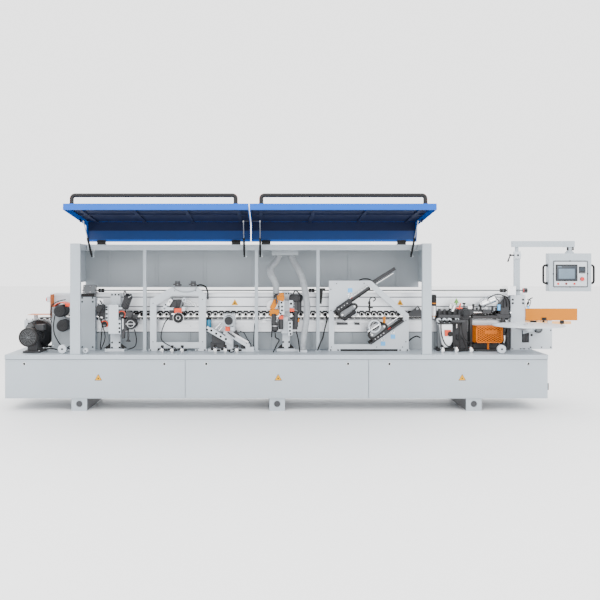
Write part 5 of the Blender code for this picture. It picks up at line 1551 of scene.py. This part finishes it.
def infeed():
    finish_node("infeed_stand", PLATE, 0.003)
    finish_node("infeed_fence", AMBER, 0.006)
    disc = Kit("coil_disc_plate", "coil_disc", PLATE, bevel=0)
    disc.bar((DISC_X, 0.03, 0.8502), (DISC_X, 0.03, 0.8578), 0.3515, 160)
    disc.bar((DISC_X, 0.03, 0.85), (DISC_X, 0.03, 0.852), 0.345, 160)
    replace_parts(disc.done(), "coil_disc")
    hub = Kit("coil_disc_hub", "coil_disc", STEEL, bevel=0.001)
    hub.bar((DISC_X, 0.03, 0.8578), (DISC_X, 0.03, 0.864), 0.052, 48)
    hub.bar((DISC_X, 0.03, 0.864), (DISC_X, 0.03, 0.876), 0.018, 28)
    for across, deep in circle((DISC_X, 0.03), 0.038, 6):
        hub.screw((across, deep, 0.864), UP, 0.0055, 0.003)
    hub.ring((DISC_X, 0.03, 0.8578), UP, 0.346, 0.0018, 120, 8).done()
    bolts = Kit("infeed_bolts", "machine", BLACK, bevel=0.0005)
    for across in (2.597, 2.705):
        for up in (1.093, 1.056):
            bolts.screw((across, 0.44, up), FRONT, 0.011, 0.005)
    for across, up in ((2.785, 0.77), (2.997, 0.77), (2.785, 0.592), (2.997, 0.592), (2.9, 0.592)):
        bolts.screw((across, 0.44, up), FRONT, 0.007, 0.004)
    for across in (2.59, 2.675, 2.712, 2.762):
        bolts.screw((across, 0.425, DECK + 0.01), UP, 0.009, 0.007)
    bolts.done()
    feet = Kit("infeed_feet", "machine", PLATE)
    feet.box((2.56, 0.405, DECK + GAP), (2.576, 0.4945, DECK + 0.01))
    feet.box((2.576, 0.405, DECK + GAP), (2.78, 0.4295, DECK + 0.01)).done()
    # Painted shade: dark strips set back in the stand's slots stand in for the shade inside them.
    strips = Kit("infeed_slot_painted_shade", "machine", DARK)
    strips.box((2.7, 0.455, 0.641), (2.77, 0.47, 0.815))
    strips.box((2.706, 0.448, 0.641), (2.724, 0.455, 0.815))
    strips.box((2.535, 0.45, DECK + GAP), (2.568, 0.495, 0.85))
    strips.box((2.738, 0.45, 0.641), (2.746, 0.455, 0.815)).done()
    web = Kit("coil_arm_bracket", "machine", WHITE)
    web.plate([(2.6905, 0.822), (2.86, 0.822), (2.8, 0.76), (2.6905, 0.735)], 0.395, 0.404)
    web.box((2.6905, 0.404, 0.812), (2.85, 0.4395, 0.822)).done()
    wheel = Kit("infeed_wheel", "machine", BLACK)
    wheel.bar((2.855, 0.396, 0.785), (2.855, 0.428, 0.785), 0.042, 36)
    wheel.bar((2.78, 0.388, 0.724), (2.78, 0.395, 0.724), 0.014, 6)
    wheel.bar((2.78, 0.38, 0.724), (2.78, 0.388, 0.724), 0.009, 20).done()
    face = Kit("infeed_wheel_face", "machine", MID_GREY)
    face.bar((2.855, 0.3935, 0.785), (2.855, 0.397, 0.785), 0.026, 30)
    face.ring((2.855, 0.394, 0.785), FRONT, 0.034, 0.0028, 36, 8).done()
    axle = Kit("infeed_wheel_axle", "machine", STEEL)
    axle.bar((2.855, 0.425, 0.785), (2.855, 0.4395, 0.785), 0.011, 20).done()
    shelf = Kit("fence_shelf", "machine", PALE_AMBER)
    shelf.box((2.727, 0.4475, 0.84), (2.963, 0.468, 0.866))
    shelf.box((3.012, 0.4475, 0.834), (3.215, 0.47, 0.864)).done()
    clamps = Kit("fence_clamps", "machine", BLACK)
    clamps.box((2.782, 0.438, 0.846), (2.848, 0.447, 0.872))
    clamps.box((2.79, 0.425, 0.85), (2.806, 0.438, 0.868)).box((2.824, 0.425, 0.85), (2.84, 0.438, 0.868))
    clamps.bar((2.922, 0.444, 0.852), (2.922, 0.444, 0.8735), 0.01, 18)
    clamps.box((3.095, 0.44, 0.838), (3.138, 0.447, 0.8735))
    clamps.bar((3.116, 0.452, 0.81), (3.116, 0.452, 0.834), 0.008, 16)
    clamps.bar((3.116, 0.452, 0.806), (3.116, 0.452, 0.816), 0.014, 18).done()
    block = Kit("fence_clamp", "infeed_fence", BLACK)
    block.box((2.898, 0.418, 0.877), (2.946, 0.4278, 0.905))
    block.bar((2.922, 0.41, 0.891), (2.922, 0.419, 0.891), 0.009, 20).done()
    tail = Kit("infeed_sensor", "machine", BLACK, bevel=0.001)
    tail.pipe(
        smooth_route([(2.738, 0.42, 1.02), (2.748, 0.41, 1.07), (2.775, 0.41, 1.105),
            (2.8, 0.42, 1.112)], 8),
        0.0055, 10,
    )
    tail.pipe(
        smooth_route([(2.742, 0.42, 1.1), (2.775, 0.41, 1.085), (2.768, 0.41, 1.04),
            (2.75, 0.42, 1.01)], 8),
        0.004, 10,
    )
    tail.bar((2.745, 0.42, 1.04), (2.757, 0.42, 1.07), 0.011, 18).done()
    tip = Kit("infeed_sensor_tip", "machine", TAG_BLUE, bevel=0.001)
    tip.box((2.746, 0.412, 1.003), (2.764, 0.428, 1.028)).done()
    metal = Kit("infeed_sensor_foot", "machine", STEEL, bevel=0.001)
    metal.box((2.7265, 0.43, 1.0), (2.742, 0.445, 1.02)).done()


def pendant():
    finish_node("pendant_post", WHITE, 0.003)
    finish_node("pendant_arm", WHITE, 0.005)
    hub = Kit("pendant_clamp_hub", "machine", PLATE, bevel=0.003)
    hub.bar((2.652, 0.44, 1.56), (2.652, 0.4597, 1.56), 0.036, 40)
    hub.box((2.614, 0.452, 1.52), (2.686, 0.4597, 1.6)).done()
    bore = Kit("pendant_clamp_screw", "machine", BLACK, bevel=0.0008)
    bore.bar((2.652, 0.436, 1.56), (2.652, 0.4405, 1.56), 0.011, 24)
    bore.bar((2.565, 0.445, 1.56), (2.617, 0.45, 1.56), 0.008, 18)
    bore.bar((2.572, 0.444, 1.562), (2.548, 0.44, 1.5), 0.0055, 16, 0.008)
    bore.ball((2.572, 0.445, 1.561), 0.013)
    bore.ball((2.547, 0.44, 1.497), 0.0085).done()
    caps = Kit("pendant_arm_caps", "pendant_arm", WHITE, bevel=0.002)
    caps.box((3.14, 0.4475, 1.645), (3.2535, 0.5105, 1.711))
    caps.box((2.5985, 0.4478, 1.65), (2.606, 0.5102, 1.7065)).done()
    neck = Kit("pendant_neck_bolts", "pendant_arm", BLACK, bevel=0.0008)
    for across in (3.178, 3.236):
        neck.bar((across, 0.453, 1.628), (across, 0.453, 1.6452), 0.009, 20)
        neck.bar((across, 0.446, 1.62), (across, 0.46, 1.62), 0.0085, 16)
    neck.done()
    panel()


def rounded_box(kit, low, high, radius, holes=(), steps=6):
    """An outline in X and Z with rounded corners, from low to high."""
    outline = []
    corners = ((high[0], high[2], 0), (low[0], high[2], 90), (low[0], low[2], 180),
        (high[0], low[2], 270))
    for across, up, turn in corners:
        middle_x = across - radius if turn in (0, 270) else across + radius
        middle_z = up - radius if turn in (0, 90) else up + radius
        for step in range(steps + 1):
            angle = math.radians(turn + 90 * step / steps)
            outline.append((middle_x + radius * math.cos(angle), middle_z + radius * math.sin(angle)))
    kit.plate(outline, low[1], high[1], holes)
    return outline


def panel_kit(name, finish, bevel):
    return Kit(name, "control_panel", finish, PANEL_MOVE, bevel=bevel)


def panel():
    buttons = [(across, 1.2605) for across in (3.04, 3.125, 3.21)]
    stop = (3.29, 1.3105)
    bores = [circle(button, 0.0125, 28) for button in buttons] + [circle(stop, 0.0105, 28)]
    cutouts = [circle(button, 0.0128, 28) for button in buttons] + [circle(stop, 0.0215, 36)]
    case = panel_kit("panel_case", WHITE, 0.002)
    rounded_box(case, (2.9455, 0.4205, 1.18), (3.3895, 0.437, 1.58), 0.006, bores)
    rounded_box(case, (2.9455, 0.437, 1.18), (3.3895, 0.5295, 1.58), 0.006)
    case.bar((3.18, 0.479, 1.58), (3.18, 0.479, 1.606), 0.0335, 36)
    case.bar((3.18, 0.479, 1.58), (3.18, 0.479, 1.592), 0.046, 36)
    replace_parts(case.done(), "control_panel")
    bezel = panel_kit("panel_bezel", MID_GREY, 0)
    outer = rounded_box(bezel, (2.99, 0.418, 1.226), (3.35, 0.4212, 1.5), 0.008, cutouts)
    bezel.done()
    face = panel_kit("panel_face", PLATE, 0)
    rounded_box(face, (3.0, 0.417, 1.236), (3.34, 0.4185, 1.49), 0.004, cutouts)
    face.done()
    edges = panel_kit("panel_bezel_clips", BLACK, 0.0006)
    for across, up in ((2.99, 1.365), (3.35, 1.365), (3.165, 1.226), (3.165, 1.5)):
        edges.box((across - 0.006, 0.416, up - 0.006), (across + 0.006, 0.419, up + 0.006))
    for start, end in zip(outer, [*outer[1:], outer[0]]):
        edges.bar((start[0], 0.4182, start[1]), (end[0], 0.4182, end[1]), 0.0022, 8)
    edges.done()
    frame_round = panel_kit("panel_screen_frame", BLACK, 0.001)
    rounded_box(frame_round, (3.013, 0.412, 1.289), (3.241, 0.4175, 1.462), 0.006)
    rounded_box(frame_round, (3.257, 0.413, 1.37), (3.326, 0.4175, 1.44), 0.003)
    frame_round.done()
    glass = panel_kit("panel_screen", SCREEN, 0.0003)
    rounded_box(glass, (3.024, 0.4113, 1.3), (3.23, 0.4125, 1.451), 0.002)
    glass.box((3.263, 0.4122, 1.392), (3.32, 0.4133, 1.434)).done()
    page = panel_kit("panel_screen_page", SCREEN_PAGE, 0)
    page.box((3.044, 0.411, 1.314), (3.212, 0.4114, 1.418))
    page.box((3.036, 0.411, 1.434), (3.075, 0.4114, 1.443)).done()
    keys = panel_kit("panel_display_keys", MID_GREY, 0.0004)
    for step in range(4):
        keys.box((3.264 + step * 0.0145, 0.412, 1.376), (3.274 + step * 0.0145, 0.4133, 1.384))
    keys.done()
    collars = panel_kit("panel_collars", BRIGHT, 0)
    for across, up in buttons:
        collars.ring((across, 0.4168, up), FRONT, 0.014, 0.0016, 32, 8)
    collars.ring((stop[0], 0.4168, stop[1]), FRONT, 0.0232, 0.0016, 40, 8).done()
    grips = panel_kit("panel_handles", BLACK, 0.001)
    for inner, grip in ((2.9455, 2.902), (3.3895, 3.436)):
        side = -1 if grip < inner else 1
        bend = 0.026
        turns = [math.pi / 2 * step / 6 for step in range(6, -1, -1)]
        corners = [(grip - side * bend * (1 - math.cos(a)), bend * (1 - math.sin(a))) for a in turns]
        route = [(inner, 0.474, 1.264), *[(x, 0.474, 1.264 + z) for x, z in corners]]
        route += [(x, 0.474, 1.454 - z) for x, z in reversed(corners)] + [(inner, 0.474, 1.454)]
        grips.pipe(route, 0.0115, 20)
        for up in (1.264, 1.454):
            grips.bar((inner, 0.474, up), (inner + side * 0.008, 0.474, up), 0.016, 24)
    grips.done()
    for name in ("left", "middle", "right"):
        finish_node(f"panel_button_{name}", RED, 0.0008)
    cap = Kit("panel_button_cap_middle", "panel_button_middle", BLACK, PANEL_MOVE, bevel=0.0004)
    cap.bar((3.125, 0.4143, 1.2605), (3.125, 0.4152, 1.2605), 0.0086, 28).done()
    finish_node("panel_stop", RED, 0.002)


def floor_and_light():
    mesh = bpy.data.meshes.new("floor")
    shape = bmesh.new()
    bmesh.ops.create_grid(shape, x_segments=1, y_segments=1, size=40.0)
    shape.to_mesh(mesh)
    shape.free()
    mesh.materials.append(
        coat("pale_studio_floor", (0.86, 0.86, 0.86), 0.55, grain=60.0, bump=0.0, vary=0.004),
    )
    ground = bpy.data.objects.new("floor", mesh)
    bpy.context.scene.collection.objects.link(ground)
    world = bpy.data.worlds.new("studio")
    world.use_nodes = True
    sky = world.node_tree.nodes["Background"]
    sky.inputs["Color"].default_value = (1.0, 1.0, 1.0, 1.0)
    sky.inputs["Strength"].default_value = 2.7
    bpy.context.scene.world = world
    for name, place, aim, size, power in (
        ("key", (-2.5, -5.5, 5.2), (0.2, 0.3, 0.9), 4.5, 330.0),
        ("fill", (4.5, -6.0, 3.2), (0.5, 0.3, 0.9), 4.0, 170.0),
        ("top", (0.3, 0.5, 6.0), (0.3, 0.4, 0.5), 6.0, 200.0),
    ):
        data = bpy.data.lights.new(name, "AREA")
        data.shape = "DISK"
        data.size = size
        data.energy = power
        lamp = bpy.data.objects.new(name, data)
        aimed = (Vector(aim) - Vector(place)).to_track_quat("-Z", "Y").to_matrix().to_4x4()
        lamp.matrix_world = LINE @ Matrix.Translation(place) @ aimed
        bpy.context.scene.collection.objects.link(lamp)


camera()
dust_hoses()
base()
enclosure()
lids()
struts()
conveyor()
pressure_beam()
outfeed()
scraper()
rounding()
fine_trimming()
rough_trimming()
end_cutting()
gluing()
infeed()
pendant()
floor_and_light()
